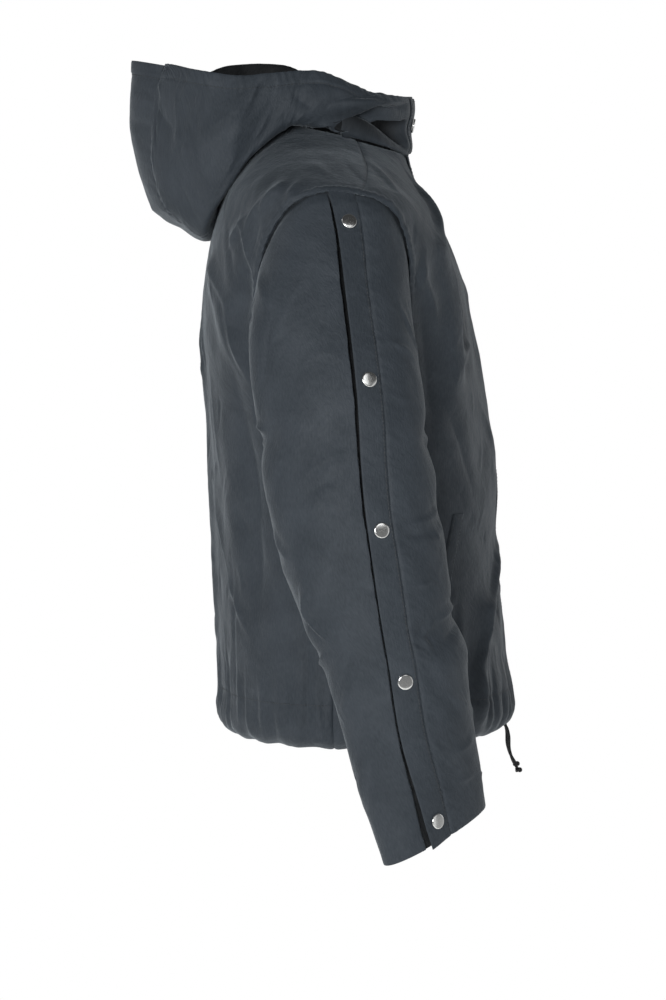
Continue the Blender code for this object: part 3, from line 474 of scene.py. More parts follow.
# Hood stations along the gusset seam from the nape down the back, round the bag and up its rear.
# seam x, seam y, seam z, gusset bulge, rim x, rim y, rim z, foot reach, foot z, belly reach, belly z
HOOD_SEAM = np.array(
    [
        (43, 98, 18, 0, 95, 94, 55.5, 45, -34, 20, -40),
        (47, 127.5, -45, 0, 96, 117, 55, 40, -80, 18, -74),
        (48, 145.5, -96.5, 4, 93, 137, 57.5, 34, -104, 16, -60),
        (48, 173, -83.5, 6, 88, 151, 60, 28, -78, 13, -20),
        (48, 191, -64, 13, 80, 162, 62.5, 22, -45, 10, 0),
        (48, 200.5, -22, 19, 67, 173, 66, 12, 0, 6, 30),
        (46.5, 198, 25, 29, 56, 182, 68.5, 6, 40, 3, 55),
        (44, 188.5, 68, 36, 46, 187.5, 69.5, 0, 68.5, 0, 69),
    ]
) / MM
# Start above the neckline, station of the front edge, ease of the gusset between its seams, lift of the left
# rim and the stations at both ends it stays clear of, rolls at the throat and how they drift, step along the
# gusset, centre and spread the sides stand out from, and the middles of sides and gusset
HOOD_START = 0.0005
HOOD_EDGE = 0.006
GUSSET_EASE = 0.002
HOOD_LEFT_LIFT = 0.026
LIFT_CLEAR = 2
THROAT_ROLLS = 3
ROLL_DRIFT = 0.25
GUSSET_STEP = 0.05
HOOD_CENTRE_Y = 0.060
HOOD_SPREAD = 0.35
HOOD_MIDDLE = np.array([0.0, 0.075, 0.010])
GUSSET_MIDDLE = np.array([0.0, 0.125, 0.010])
# Hem of the rim: width, height and step of its band, depth and half width of its stitched groove, height and
# reach of its puckers and how far they are shifted along it
HOOD_HEM = 0.014
HOOD_HEM_HEIGHT = 0.0006
HOOD_HEM_STEP = 0.0030
HOOD_HEM_GROOVE = (0.0007, 0.0016)
RIM_PUCKER = (0.0004, HOOD_HEM)
RIM_SHIFT = 0.3
# The hood's seams: mean length of cloth from station to station, how near the seam the cloth lies flat, share
# of the groove on a side and on the gusset, and how far the gusset's turned-in edge reaches and sinks
STATION_RUN = 0.035
SEAM_CALM = 0.0040
SIDE_GROOVE = 0.5
GUSSET_GROOVE = 0.25
GUSSET_TURN_IN = 0.0045
GUSSET_SINK = 0.0010
# A hood side narrower than this, towards its rear end, lies calmer, and so does its front: station, run
HOOD_CALM = 0.050
FRONT_CALM = (0.5, 0.8)

# Large folds of a hood side, alike on both
# start station, start height, end station, end height, half width, height
HOOD_FOLDS = np.array(
    [
        (5.5, 1, 6.8, 0.88, 14, 5),
        (6.8, 0.88, 8.3, 0.78, 14, 5),
        (5.7, 0.74, 8, 0.6, 16, -5),
        (9.8, 0.7, 11.6, 0.34, 14, -4),
    ]
) / (1, 1, 1, 1, MM, MM)
HOOD_SCALE = (0.030, 0.100)

# Creases of each hood side and of the gusset
# start station, start height, end station, end height, half width, height, bow, lean
HOOD_CREASES = {
    "right": (
        (5.55, 1, 6.4, 0.9, 3.6, 2.9, 2, 0.4),
        (6.3, 0.905, 8.4, 0.78, 3.6, 3.1, 3, 0.4),
        (1.66, 0.96, 3, 0.66, 4.2, -3.3, 3, 0),
        (3.4, 0.62, 4.6, 0.86, 6, -2.2, 3, 0),
        (4.2, 0.38, 6.4, 0.46, 7.2, 2, 4, 0.2),
        (8.6, 0.62, 10.8, 0.56, 6, 2, 4, 0.2),
        (10, 0.64, 11.6, 0.34, 3.6, -2.4, 2, 0),
        (8, 0.3, 9.8, 0.42, 6.6, -2, 4, 0),
    ),
    "left": (
        (5.2, 1, 6.6, 0.86, 4.2, 2.9, 2, 0.4),
        (6.5, 0.87, 8.8, 0.76, 4.2, 2.6, 3, 0.4),
        (1.66, 0.94, 3.1, 0.62, 4.8, -3.1, 3, 0),
        (3.6, 0.56, 5, 0.82, 6, -2.2, 3, 0),
        (8.4, 0.56, 10.6, 0.62, 6, 2.2, 4, 0.2),
        (10.2, 0.6, 11.8, 0.3, 4.2, -2.2, 2, 0),
    ),
    "gusset": (
        (-1.05, 11.6, -0.2, 11.75, 2.4, -1.8, 1, 0),
        (-1.05, 12.35, -0.4, 12.3, 2.4, -1.5, 1, 0),
        (0.3, 11.2, 1.05, 11, 3, -1.5, 1, 0),
        (-0.8, 9.8, 0.6, 10, 4.2, 1.5, 2, 0.2),
    ),
}
HOOD_CREASES = {part: np.array(rows) / CREASE_UNITS for part, rows in HOOD_CREASES.items()}
GUSSET_SCALE = (0.046, 0.030)

# Laps of the throat: lines of hood station and height below which the cloth drops in, each with its drop, the
# heights over which it drops and comes out again, and the stations over which it begins and ends, the last
# one this far past its line; both begin at one station, and the recess stays above the neck's roll
THROAT_FOLD = np.array(
    [(0.35, 0.94), (1.25, 0.87), (1.73, 0.77), (2, 0.65), (2.27, 0.51), (3, 0.24), (3.3, 0.13)]
)
FOLD_DROP = 0.0075
FOLD_RUN = (0.06, 0.35)
FOLD_ENDS = (0.5, 0.7, 0.2)
THROAT_RECESS = np.array([(0.5, 0.65), (0.8, 0.57), (1.53, 0.5), (2.25, 0.3), (2.65, 0.2), (3, 0.13)])
RECESS_DROP = 0.0220
RECESS_RUN = (0.08, 0.10)
RECESS_ENDS = (0.4, 0.8, 0.1)
THROAT_START = 0.45
NECK_ROLL = 0.02
THROAT_CHANGE = {"right": 1.0, "left": 0.8}

# Throat tab: share of the hood's first division it reaches across, that division's width, its ends, how far
# it stands off, the place beside its middle where its snap is measured, and the heights searched for it
TAB_REACH = 0.68
TAB_STATION = 0.5
TAB_EDGE = 0.03
TAB_STAND = 0.0020
TAB_MIDDLE = 1e-4
TAB_SEARCH = (0.05, 0.95, 181)

# Pocket welts: the opening runs between these two places on the body, angle and level; width in degrees,
# length and how far it stands off
POCKET_TOP = (55.5, -0.362)
POCKET_BOTTOM = (65.6, -0.490)
WELT_WIDTH = 4.2
WELT_LENGTH = 0.13
WELT_STAND = 0.0018

# Snap caps: distances along the sleeve placket, levels on the front, height on the throat tab
SNAP_RADIUS = 0.0072
SLEEVE_SNAP_LENGTHS = (0.032, 0.185, 0.322, 0.460, 0.593)
FRONT_SNAP_LEVELS = (-0.050, -0.172, -0.294, -0.416, -0.538)
THROAT_SNAP_HEIGHT = 0.012
SNAP_STAND = 0.0003
SNAP_SIDES = 48
# Turned profile of a cap from the cloth up and in: share of the radius, height
SNAP_PROFILE = np.array(
    [
        (0.9, 0),
        (0.98, 0.3),
        (1, 0.7),
        (0.985, 1.1),
        (0.95, 1.45),
        (0.9, 1.7),
        (0.84, 1.8),
        (0.7, 1.9),
        (0.5, 2),
        (0.25, 2.05),
    ]
) / (1, MM)

# Drawcord end: leaves the hem, hangs and ends in a knot; its braid's ribs by length and number round it
CORD_RADIUS = 0.0015
CORD_X = 0.020
CORD_LINE = np.array(
    [
        (-146.6, -580.4),
        (-147.8, -583.6),
        (-149.5, -586.6),
        (-151.3, -593),
        (-152.4, -609),
        (-156, -620),
        (-160.3, -627.4),
    ]
) / MM
CORD_POINTS = 30
RIB_STEP = 0.0011
RIB_TURNS = 6
CORD_SIDES = 16
KNOT_POINTS = 120
KNOT_SIDES = 14
KNOT_CENTRE = (-0.1612, -0.6288)
KNOT_SIZE = 0.00078
KNOT_CORD = 0.0016

# Stitches: length, gap, half thickness, how much wider than high they are and how far they stand out
STITCH_LENGTH = 0.0026
STITCH_GAP = 0.0010
STITCH_HALF = 0.00028
STITCH_WIDE = 1.3
STITCH_OUT = 0.3
# Where the rows lie: shares across the front placket and its ends, share across a sleeve's and its ends,
# columns of a hood side's rim, lines left free at a panel's ends, lines in from the edges of a small piece
FRONT_STITCHES = (0.10, 0.90)
FRONT_STITCH_ENDS = (0.012, 0.010)
SLEEVE_STITCHES = 0.90
SLEEVE_STITCH_ENDS = (0.03, 0.985)
RIM_COLUMNS = (18, 214)
END_LINES = 3
STITCH_LINES = (4, 5)
# Edges sharper than this many degrees aren't smoothed
SHARP = 50

# How finely each piece is divided; the body's and the front strip's rows lie closer just above the hem
CUT_CELLS = (24, 120)
FRONT_CELLS = 137
BACK_CELLS = 262
HEM_SHARE = 0.09
BODY_ROWS = np.concatenate(
    [
        np.linspace(0, HEM_SHARE, 40),
        np.linspace(HEM_SHARE, SIDE_SHARE, 110)[1:],
        np.linspace(SIDE_SHARE, 1, 138)[1:],
    ]
)
SLEEVE_ROWS = 275
SLEEVE_FRONT_CELLS = 108
SLEEVE_BACK_CELLS = 96
HOOD_CELLS = (234, 98)
GUSSET_CELLS = (58, 150)
FRONT_ROWS = 200
FRONT_HEM_ROWS = 36
TAB_CELLS = (14, 40)
WELT_CELLS = (8, 60)
# Shares of the first and the last cell at which more lines lie
END_CELL = (0.12, 0.3, 0.55)
# The reverse of a panel has every third line of its face, moved in along normals that are averaged over a few
# lines on each side, and lies deeper away from its edges
REVERSE_STEP = 3
EVEN_LINES = 3
REVERSE_DEPTH = 0.0018
REVERSE_RUN = 0.012

# Studio
FLOOR_LEVEL = -1.45
FLOOR_HALF = 2.3
FLOOR_GLOW = 0.55
# Light of the surround: axis, from and to along it, strength there; the two multiply
SURROUND = (("X", -0.3, 0.7, 0.20, 0.72), ("Z", -0.1, 0.6, 1.0, 0.2))
# Soft boxes: name, place, what they face, width and height, power
LIGHTS = (
    ("rear_box", (0.4, 2.3, -1.0), (0.0, 0.1, -0.50), (1.6, 0.8), 3),
    ("hood_box", (0.2, 1.9, 0.7), (0.0, 0.2, 0.0), (0.8, 0.8), 4),
    ("front_box", (-1.6, -2.4, -0.2), (0.0, 0.0, -0.30), (1.6, 2.0), 5),
    ("far_box", (1.5, -2.5, 0.3), (0.0, 0.0, -0.30), (1.6, 1.6), 8),
    ("cap_box", (-2.7, -1.1, 1.2), (-0.29, 0.0, -0.20), (1.2, 1.4), 6),
    ("near_box", (-2.7, 0.75, 0.1), (0.0, 0.0, -0.30), (1.2, 0.9), 52),
)
WHITE = (1.0, 1.0, 1.0, 1.0)


def hermite(s, span, start, leave, end, arrive):
    """Cubic between two values: four blends of the share s weigh both values and the slopes at them."""
    first = start * (1 + 2 * s) * (1 - s) ** 2 + leave * span * s * (1 - s) ** 2
    return first + end * s**2 * (3 - 2 * s) + arrive * span * s**2 * (s - 1)


def row_below(knots, at):
    """Index of the knot below each place, the share of the way to the next one and that way's length."""
    low = np.clip(np.searchsorted(knots, at, side="right") - 1, 0, len(knots) - 2)
    span = knots[low + 1] - knots[low]
    return low, ((at - knots[low]) / span)[..., None], span[..., None]


def table_at(knots, columns, at):
    """Columns of a table between its rows: cubic pieces with the mean slope of the neighbours at each
    row."""
    slopes = np.gradient(columns, knots, axis=0)
    low, s, span = row_below(knots, at)
    return hermite(s, span, columns[low], slopes[low], columns[low + 1], slopes[low + 1])


def stack_at(knots, stack, at):
    """The same cubic pieces through a stack of whole arrays, one array for each knot."""
    slopes = np.gradient(stack, knots, axis=0)
    low, s, span = row_below(knots, at)

    def row(values, index):
        return np.take_along_axis(values, index[None, ..., None], axis=0)[0]

    return hermite(s, span, row(stack, low), row(slopes, low), row(stack, low + 1), row(slopes, low + 1))


def unit(vectors):
    """Vectors brought to length one."""
    return vectors / np.linalg.norm(vectors, axis=-1, keepdims=True)


def ease(value):
    """Smooth step from 0 to 1: three squares less two cubes."""
    value = np.clip(value, 0, 1)
    return value * value * (3 - 2 * value)


def bell(value):
    """One in the middle, falling off as the exponential of the square."""
    return np.exp(-(value**2))


def roll(distance, depth, reach):
    """Rolled edge: down by a depth that fades with the distance from the edge."""
    return -depth * np.exp(-distance / reach)


def mirrored(points, side):
    """Points of the +X side, or their mirror image on the other one."""
    return points * np.array([side, 1.0, 1.0])


def grid(across, along):
    """Both places of every point of a grid, its columns first."""
    return np.meshgrid(across, along, indexing="ij")


def folds(table, scale, across, along):
    """Large folds: round each straight run the height falls off as the bell of the distance from it."""
    total = np.zeros(np.shape(across))
    for start_across, start_along, end_across, end_along, half_width, height in table:
        run = np.array([(end_across - start_across) * scale[0], (end_along - start_along) * scale[1]])
        x = (across - start_across) * scale[0]
        y = (along - start_along) * scale[1]
        share = np.clip((x * run[0] + y * run[1]) / (run @ run), 0, 1)
        away = (x - share * run[0]) ** 2 + (y - share * run[1]) ** 2
        total = total + height * np.exp(-away / half_width**2)
    return total


def creases(table, scale, across, along):
    """Listed creases: each is a bowed run; a crest with a rounded top stands across it, wider on the
    side it leans to, with a shallow hollow beside it, and its height fades towards both ends."""
    total = np.zeros(np.shape(across))
    for start_across, start_along, end_across, end_along, half, height, bow, lean in table:
        turn = np.mod(end_across - start_across + 180, 360) - 180
        run = np.array([turn * scale[0], (end_along - start_along) * scale[1]])
        length = np.hypot(*run)
        ahead = run / length
        x = (np.mod(across - start_across + 180, 360) - 180) * scale[0]
        y = (along - start_along) * scale[1]
        share = (x * ahead[0] + y * ahead[1]) / length
        inside = np.clip(share, 0, 1)
        beyond = (share - inside) * length / half
        away = y * ahead[0] - x * ahead[1] - 4 * bow * inside * (1 - inside)
        away = away / (half * (1 + lean * np.tanh(away / half)))
        crest = np.exp(CREST_ROUND - np.sqrt(CREST_ROUND**2 + CREST_STEEP * away**2))
        section = crest - HOLLOW_DEPTH * bell(np.abs(away) - HOLLOW_PLACE)
        fade = END_HEIGHT + (1 - END_HEIGHT) * ease(inside / END_RISE) * ease((1 - inside) / END_RISE)
        total = total + height * fade * section * bell(beyond)
    return total


def small_wrinkles(seed, count, across, along, scale, tilt):
    """Rows of short creases between the larger ones: uneven places, lengths, heights and slants round a tilt
    in degrees from the across direction."""
    rng = np.random.default_rng(seed)
    reach = rng.uniform(*WRINKLE_LENGTHS, count)
    slant = np.radians(rng.normal(tilt, WRINKLE_SLANTS, count))
    start = np.stack([rng.uniform(*across, count), rng.uniform(*along, count)], axis=-1)
    end = start + np.stack([np.cos(slant), np.sin(slant)], axis=-1) * reach[:, None] / np.array(scale)
    half = rng.uniform(*WRINKLE_HALVES, count)
    way = rng.choice([-1.0, 1.0], count, p=[WRINKLE_IN, 1 - WRINKLE_IN])
    height = way * rng.uniform(*WRINKLE_HEIGHTS, count)
    bow = rng.uniform(*WRINKLE_BOWS, count) * reach
    lean = rng.uniform(*WRINKLE_LEANS, count)
    return np.column_stack([start, end, half, height, bow, lean])


BODY_WRINKLES = small_wrinkles(3, 150, (-180.0, 180.0), (-0.54, -0.03), BODY_SCALE, 80.0)
SLEEVE_WRINKLES = {
    word: small_wrinkles(seed, 80, (-115.0, 245.0), (0.06, 0.97), SLEEVE_SCALE, 20.0)
    for word, seed in (("right", 5), ("left", 6))
}
HOOD_WRINKLES = {
    word: small_wrinkles(seed, 60, (1.0, 13.0), (0.05, 0.95), HOOD_SCALE, 140.0)
    for word, seed in (("right", 8), ("left", 9))
}


def puckers(run, distance, height, reach):
    """Puckers of a sewn edge: an uneven wave along it that fades with the distance from it as a bell."""
    phase = 2 * np.pi * run / PUCKER_LENGTH
    for length, drift in PUCKER_DRIFTS:
        phase = phase + drift * np.sin(2 * np.pi * run / length)
    return height * np.sin(phase) * bell(distance / reach)


def crumple(points):
    """Crumple of worn cloth: in each grade plane waves of many directions add up, and their folded-over
    absolute value gives soft panes between finer crests."""
    wave_part, crest_part, level = CRUMPLE_MIX
    total = np.zeros(points.shape[:-1])
    for grade, (wavelength, height) in enumerate(CRUMPLE):
        rng = np.random.default_rng(CRUMPLE_SEED + grade)
        ways = unit(rng.normal(size=(CRUMPLE_WAVES, 3)))
        ways = ways / (wavelength * rng.uniform(*CRUMPLE_SPREAD, (CRUMPLE_WAVES, 1)))
        waves = np.sin(2 * np.pi * (points @ ways.T) + rng.uniform(0, 2 * np.pi, CRUMPLE_WAVES))
        waves = waves.sum(axis=-1) / CRUMPLE_EVEN
        total = total + height * (wave_part * waves + crest_part * (level - np.abs(waves)))
    return total


def run_along(line):
    """Distance run along a line of points, or along many side by side, from the first point."""
    steps = np.linalg.norm(np.diff(line, axis=0), axis=-1)
    return np.concatenate([np.zeros_like(steps[:1]), np.cumsum(steps, axis=0)])


def lengths(points, axis):
    """Distance run along the lines of a grid from their first points."""
    return np.moveaxis(run_along(np.moveaxis(points, axis, 0)), 0, axis)


def from_end(points, axis):
    """Distance along the lines of a grid to their last points."""
    return np.flip(lengths(np.flip(points, axis), axis), axis)


def from_edge(points, axes=(0, 1)):
    """Distance along the lines of a grid to its nearest edge."""
    return np.minimum.reduce([way(points, axis) for axis in axes for way in (lengths, from_end)])


def groove(distance):
    """Seam groove: the cloth rolls down to its seam as the square of the share still to go."""
    return -GROOVE_DEPTH * np.clip(1 - distance / GROOVE_RUN, 0, 1) ** 2


def grid_normal(points, inside):
    """Unit normals of a grid from its neighbours across and along, turned away from the inside."""
    normal = unit(np.cross(np.gradient(points, axis=0), np.gradient(points, axis=1)))
    return normal * np.sign(((points - inside) * normal).sum())


def even_normal(points, inside):
    """Unit normals of a grid averaged by area over the nearest lines on each side, both ways, so that narrow
    cells and sharp creases don't turn them over."""
    sides = np.cross(np.gradient(points, axis=0), np.gradient(points, axis=1))
    for axis in (0, 1):
        ends = sides.take([0] * EVEN_LINES, axis), sides, sides.take([-1] * EVEN_LINES, axis)
        padded = np.concatenate(ends, axis=axis)
        steps = range(2 * EVEN_LINES + 1)
        sides = sum(padded.take(np.arange(points.shape[axis]) + step, axis) for step in steps)
    normal = unit(sides)
    return normal * np.sign(((points - inside) * normal).sum())


def turned_in(points, normal, axis, reach, sink=TURN_SINK):
    """Adds a seam allowance: one more line past the last, carried on by the reach and sunk."""
    last = points.take(-1, axis)
    ahead = unit(last - points.take(-2, axis))
    line = last + ahead * np.asarray(reach)[..., None] - normal.take(-1, axis) * sink
    return np.concatenate([points, np.expand_dims(line, axis)], axis=axis)


def fine_ends(cells):
    """Even shares with a few more lines inside the first and the last cell, where seams roll in."""
    even = np.arange(cells + 1) / cells
    near = np.array(END_CELL) / cells
    return np.sort(np.concatenate([even, near, 1 - near]))


# Body


def torso(angle, level):
    """Body form: at each level a superellipse round its centre, angle from the front centre towards +X."""
    centre, front, back, half, square, tilt = np.moveaxis(table_at(BODY[:, 0], BODY[:, 1:], level), -1, 0)
    sine = np.sin(np.radians(angle))
    cosine = np.cos(np.radians(angle))
    depth = np.where(cosine > 0, front, back)
    reach = (np.abs(sine / half) ** square + np.abs(cosine / depth) ** square) ** (-1 / square)
    reach = reach + folds(BODY_FOLDS, BODY_SCALE, np.degrees(np.arccos(np.clip(cosine, -1, 1))), level)
    return np.stack([reach * sine, centre - reach * cosine, level - tilt * cosine], axis=-1)


def form_normal(form, across, along, steps):
    """Unit normal of a form from small steps both ways."""
    side = form(across + steps[0], along) - form(across - steps[0], along)
    up = form(across, along + steps[1]) - form(across, along - steps[1])
    return unit(np.cross(side, up))


def torso_normal(angle, level):
    """Unit normal of the body form."""
    return form_normal(torso, angle, level, TORSO_STEPS)


def girth(angle, level, centre_angle):
    """Length round the section from its front or back centre to an angle, summed over short steps."""
    share = np.linspace(0, 1, GIRTH_STEPS + 1).reshape((-1,) + (1,) * np.ndim(angle))
    levels = np.broadcast_to(level, share.shape[:1] + np.shape(angle))
    return run_along(torso(centre_angle + (angle - centre_angle) * share, levels))[-1]


def angle_at(length, level, centre_angle):
    """Angle at which a length round the section is reached: the running sum is searched and drawn
    straight."""
    sweep = np.arange(SWEEP_DEGREES + 1.0)
    towards = 1 if centre_angle == 0 else -1
    fan = (centre_angle + towards * sweep).reshape((-1,) + (1,) * length.ndim)
    total = run_along(torso(*np.broadcast_arrays(fan, np.asarray(level)[None])))
    wanted = np.abs(length)
    low = np.clip((total < wanted).sum(axis=0) - 1, 0, SWEEP_DEGREES - 1)
    before = np.take_along_axis(total, low[None], axis=0)[0]
    after = np.take_along_axis(total, low[None] + 1, axis=0)[0]
    swept = sweep[low] + (wanted - before) / (after - before)
    return centre_angle + towards * np.sign(length) * swept


def armhole_line():
    """The armhole as turn, angle and level: turn 0 top, 90 front, 180 under the arm, 270 back."""
    middle = (ARMHOLE_TOP + ARMHOLE_UNDER) / 2
    half = (ARMHOLE_TOP - ARMHOLE_UNDER) / 2
    raw = np.radians(np.linspace(0, 360, ARMHOLE_STEPS + 1))
    square = np.where(raw < np.pi / 2, ARMHOLE_FRONT_SQUARE, ARMHOLE_BACK_SQUARE)
    rise = np.sign(np.cos(raw)) * np.abs(np.cos(raw)) ** (2 / square)
    sway = np.sign(np.sin(raw)) * np.abs(np.sin(raw)) ** (2 / square)
    reach = np.where(sway > 0, ARMHOLE_FRONT, ARMHOLE_BACK)
    angle = SIDE_ANGLE - ARMHOLE_LEAN * (1 + rise) / 2 - reach * sway
    level = middle + half * rise
    line = torso(angle, level)
    length = run_along(line)
    turn = np.interp(length, length[:: ARMHOLE_STEPS // 4], [0, 90, 180, 270, 360])
    return turn, angle, level


ARM_TURN, ARM_ANGLE, ARM_LEVEL = armhole_line()


def armhole(turn):
    """Angle and level on the body at a turn round the armhole."""
    turn = np.mod(turn, 360)
    return np.interp(turn, ARM_TURN, ARM_ANGLE), np.interp(turn, ARM_TURN, ARM_LEVEL)


def side_edge(share, centre_angle):
    """Side seam, then armhole, from the hem to the shoulder seam, as girth and level."""
    climb = np.clip((share - SIDE_SHARE) / (1 - SIDE_SHARE), 0, 1)
    top = SHOULDER_TURN if centre_angle == 0 else 360 + SHOULDER_TURN
    hole_angle, hole_level = armhole(180 + (top - 180) * climb)
    seam_level = HEM_LEVEL + (ARMHOLE_UNDER - HEM_LEVEL) * share / SIDE_SHARE
    angle = np.where(share < SIDE_SHARE, SIDE_ANGLE, hole_angle)
    level = np.where(share < SIDE_SHARE, seam_level, hole_level)
    return np.stack([girth(angle, level, centre_angle), level], axis=-1)


def top_edge(share, start, centre_angle):
    """Neckline, then shoulder seam, from the panel's centre to the armhole, as girth and level."""
    tip_angle, tip_level = armhole(np.array(SHOULDER_TURN))
    corner = girth(np.array(SHOULDER_ANGLE), np.array(NECK_LEVEL), centre_angle)
    on_neck = start + (corner - start) * share / NECK_SHARE
    down = np.clip((share - NECK_SHARE) / (1 - NECK_SHARE), 0, 1)
    angle = SHOULDER_ANGLE + (tip_angle - SHOULDER_ANGLE) * down
    level = NECK_LEVEL + (tip_level - NECK_LEVEL) * down
    length = np.where(share < NECK_SHARE, on_neck, girth(angle, level, centre_angle))
    return np.stack([length, level], axis=-1)


def flat_panel(u, v, left, right, bottom, top):
    """Flat cut between four edges: both rulings added, less the ruling between the corners."""
    ends = np.array([0.0, 1.0])
    low_left, high_left = left(ends)
    low_right, high_right = right(ends)
    ruled = (1 - u)[..., None] * left(v) + u[..., None] * right(v)
    ruled = ruled + (1 - v)[..., None] * bottom(u) + v[..., None] * top(u)
    low = (1 - u)[..., None] * low_left + u[..., None] * low_right
    high = (1 - u)[..., None] * high_left + u[..., None] * high_right
    return ruled - (1 - v)[..., None] * low - v[..., None] * high


def front_cut(u, v, start):
    """Flat cut of a front from an edge at the closure to the side, on the +X half."""
    hem_girth = girth(np.array(SIDE_ANGLE), np.array(HEM_LEVEL), 0)

    def closure(share):
        return np.stack([np.full(share.shape, start), HEM_LEVEL + (NECK_LEVEL - HEM_LEVEL) * share], axis=-1)

    def hem(share):
        return np.stack([start + (hem_girth - start) * share, np.full(share.shape, HEM_LEVEL)], axis=-1)

    side = partial(side_edge, centre_angle=0)
    top = partial(top_edge, start=start, centre_angle=0)
    return flat_panel(u, v, closure, side, hem, top)


def back_cut(u, v):
    """Flat cut of the back from the -X side to the +X side."""
    flip = np.array([-1.0, 1.0])
    hem_girth = girth(np.array(SIDE_ANGLE), np.array(HEM_LEVEL), 180)
    left = partial(side_edge, centre_angle=180)

    def right(share):
        return left(share) * flip

    def hem(share):
        return np.stack([hem_girth * (2 * share - 1), np.full(share.shape, HEM_LEVEL)], axis=-1)

    def top(share):
        half = top_edge(np.abs(2 * share - 1), 0.0, 180)
        return np.where(share[..., None] < MIDDLE, half * flip, half)

    return flat_panel(u, v, right, left, hem, top)


def drawn_straight(values, u, v):
    """Values of a coarse grid at finer shares, straight between its points both ways."""
    i = u * (values.shape[0] - 1)
    j = v * (values.shape[1] - 1)
    low_i = np.clip(i.astype(int), 0, values.shape[0] - 2)
    low_j = np.clip(j.astype(int), 0, values.shape[1] - 2)
    across = (i - low_i)[..., None]
    along = (j - low_j)[..., None]
    below = values[low_i, low_j] * (1 - across) + values[low_i + 1, low_j] * across
    above = values[low_i, low_j + 1] * (1 - across) + values[low_i + 1, low_j + 1] * across
    return below * (1 - along) + above * along


def laid(cut, cells, u, v, centre_angle):
    """Angle, level and girth of a flat cut's places, worked out on a coarse grid."""
    flat = cut(*grid(np.linspace(0, 1, cells[0] + 1), np.linspace(0, 1, cells[1] + 1)))
    angle = angle_at(flat[..., 0], flat[..., 1], centre_angle)
    placed = drawn_straight(np.stack([angle, flat[..., 1], flat[..., 0]], axis=-1), u, v)
    return np.moveaxis(placed, -1, 0)


def gathered(share, girth_run, level, count):
    """The solid's hem gathers: a row of cosine hollows that fade upwards and near the panel's centre."""
    wave = (1 - np.cos(2 * np.pi * count * share)) / 2
    rise = 1 - ease((level - HEM_LEVEL) / GATHER_RISE)
    clear = ease((np.abs(girth_run) - GATHER_CLEAR) / GATHER_CLEAR)
    return -GATHER_DEPTH * wave * rise * clear


def gather_rows():
    """Rows of the drawn hem's gathers: round the hem at uneven angles, each with its own length, slant,
    width and height, in and out by turns."""
    rng = np.random.default_rng(GATHER_SEED)
    number = np.arange(FINE_GATHERS)

    def spread(low, high):
        return rng.uniform(low, high, FINE_GATHERS)

    angle = (number + spread(*GATHER_SHIFTS)) * 360 / FINE_GATHERS - 180
    foot = FINE_GATHER_FOOT + spread(*GATHER_FEET)
    top = foot + spread(*GATHER_LENGTHS) + GATHER_LONGER * spread(0, 1) ** 3
    half = spread(*GATHER_HALVES)
    height = np.where(number % 2, 1, -1) * spread(*GATHER_HEIGHTS)
    lean = spread(*GATHER_LEANS)
    bow = spread(*GATHER_BOWS)
    ends = angle + spread(*GATHER_SLANTS)
    return np.column_stack([angle, foot, ends, top, half, height, bow, lean])


GATHER_ROWS = gather_rows()


def hem_gathers(angle, level):
    """Gathers of the drawn hem, and the uneven pinch of the channel's stitching."""
    turn = np.radians(angle)
    clear = ease((np.abs(np.mod(angle + 180, 360) - 180) - CHANNEL_CLEAR) / CHANNEL_CLEAR)
    uneven = CHANNEL_EVEN
    for part, rate, shift in CHANNEL_WAVES:
        uneven = uneven + part * np.sin(rate * turn + shift)
    pinch = CHANNEL_PINCH * uneven * bell((level - CHANNEL_LEVEL) / CHANNEL_HALF)
    return (creases(GATHER_ROWS, BODY_SCALE, angle, level) - pinch) * clear


def from_armhole(points):
    """Distance of points on the body from the nearest place of an armhole's edge, and how far round it
    that place lies: the least over short straight pieces of the edge."""
    edge = torso(*armhole(np.arange(0.0, 360.0, HOLE_STEP)))
    run = run_along(edge)
    near = np.concatenate([np.abs(points[..., :1]), points[..., 1:]], axis=-1)
    away = np.full(points.shape[:-1], np.inf)
    place = np.zeros(points.shape[:-1])
    for start, end, begun in zip(edge, np.roll(edge, -1, axis=0), run):
        step = end - start
        share = np.clip((near - start) @ step / (step @ step), 0, 1)
        distance = np.linalg.norm(near - start - share[..., None] * step, axis=-1)
        closer = distance < away
        away = np.where(closer, distance, away)
        place = np.where(closer, begun + share * np.linalg.norm(step), place)
    return away, place


def body_height(angle, level, points):
    """Everything that stands off the body form: creases, hem gathers and crumple."""
    placed = creases([*BODY_CREASES, *BODY_WRINKLES], BODY_SCALE, angle, level)
    return placed + hem_gathers(angle, level) + crumple(points)


def under_placket(run):
    """How far the right front is sunk below the placket: fully under it and a little beyond, then eased
    out."""
    return DIP * ease(1 - (run - FRONT_PLACKET / 2 - DIP_FLAT) / DIP_RUN)


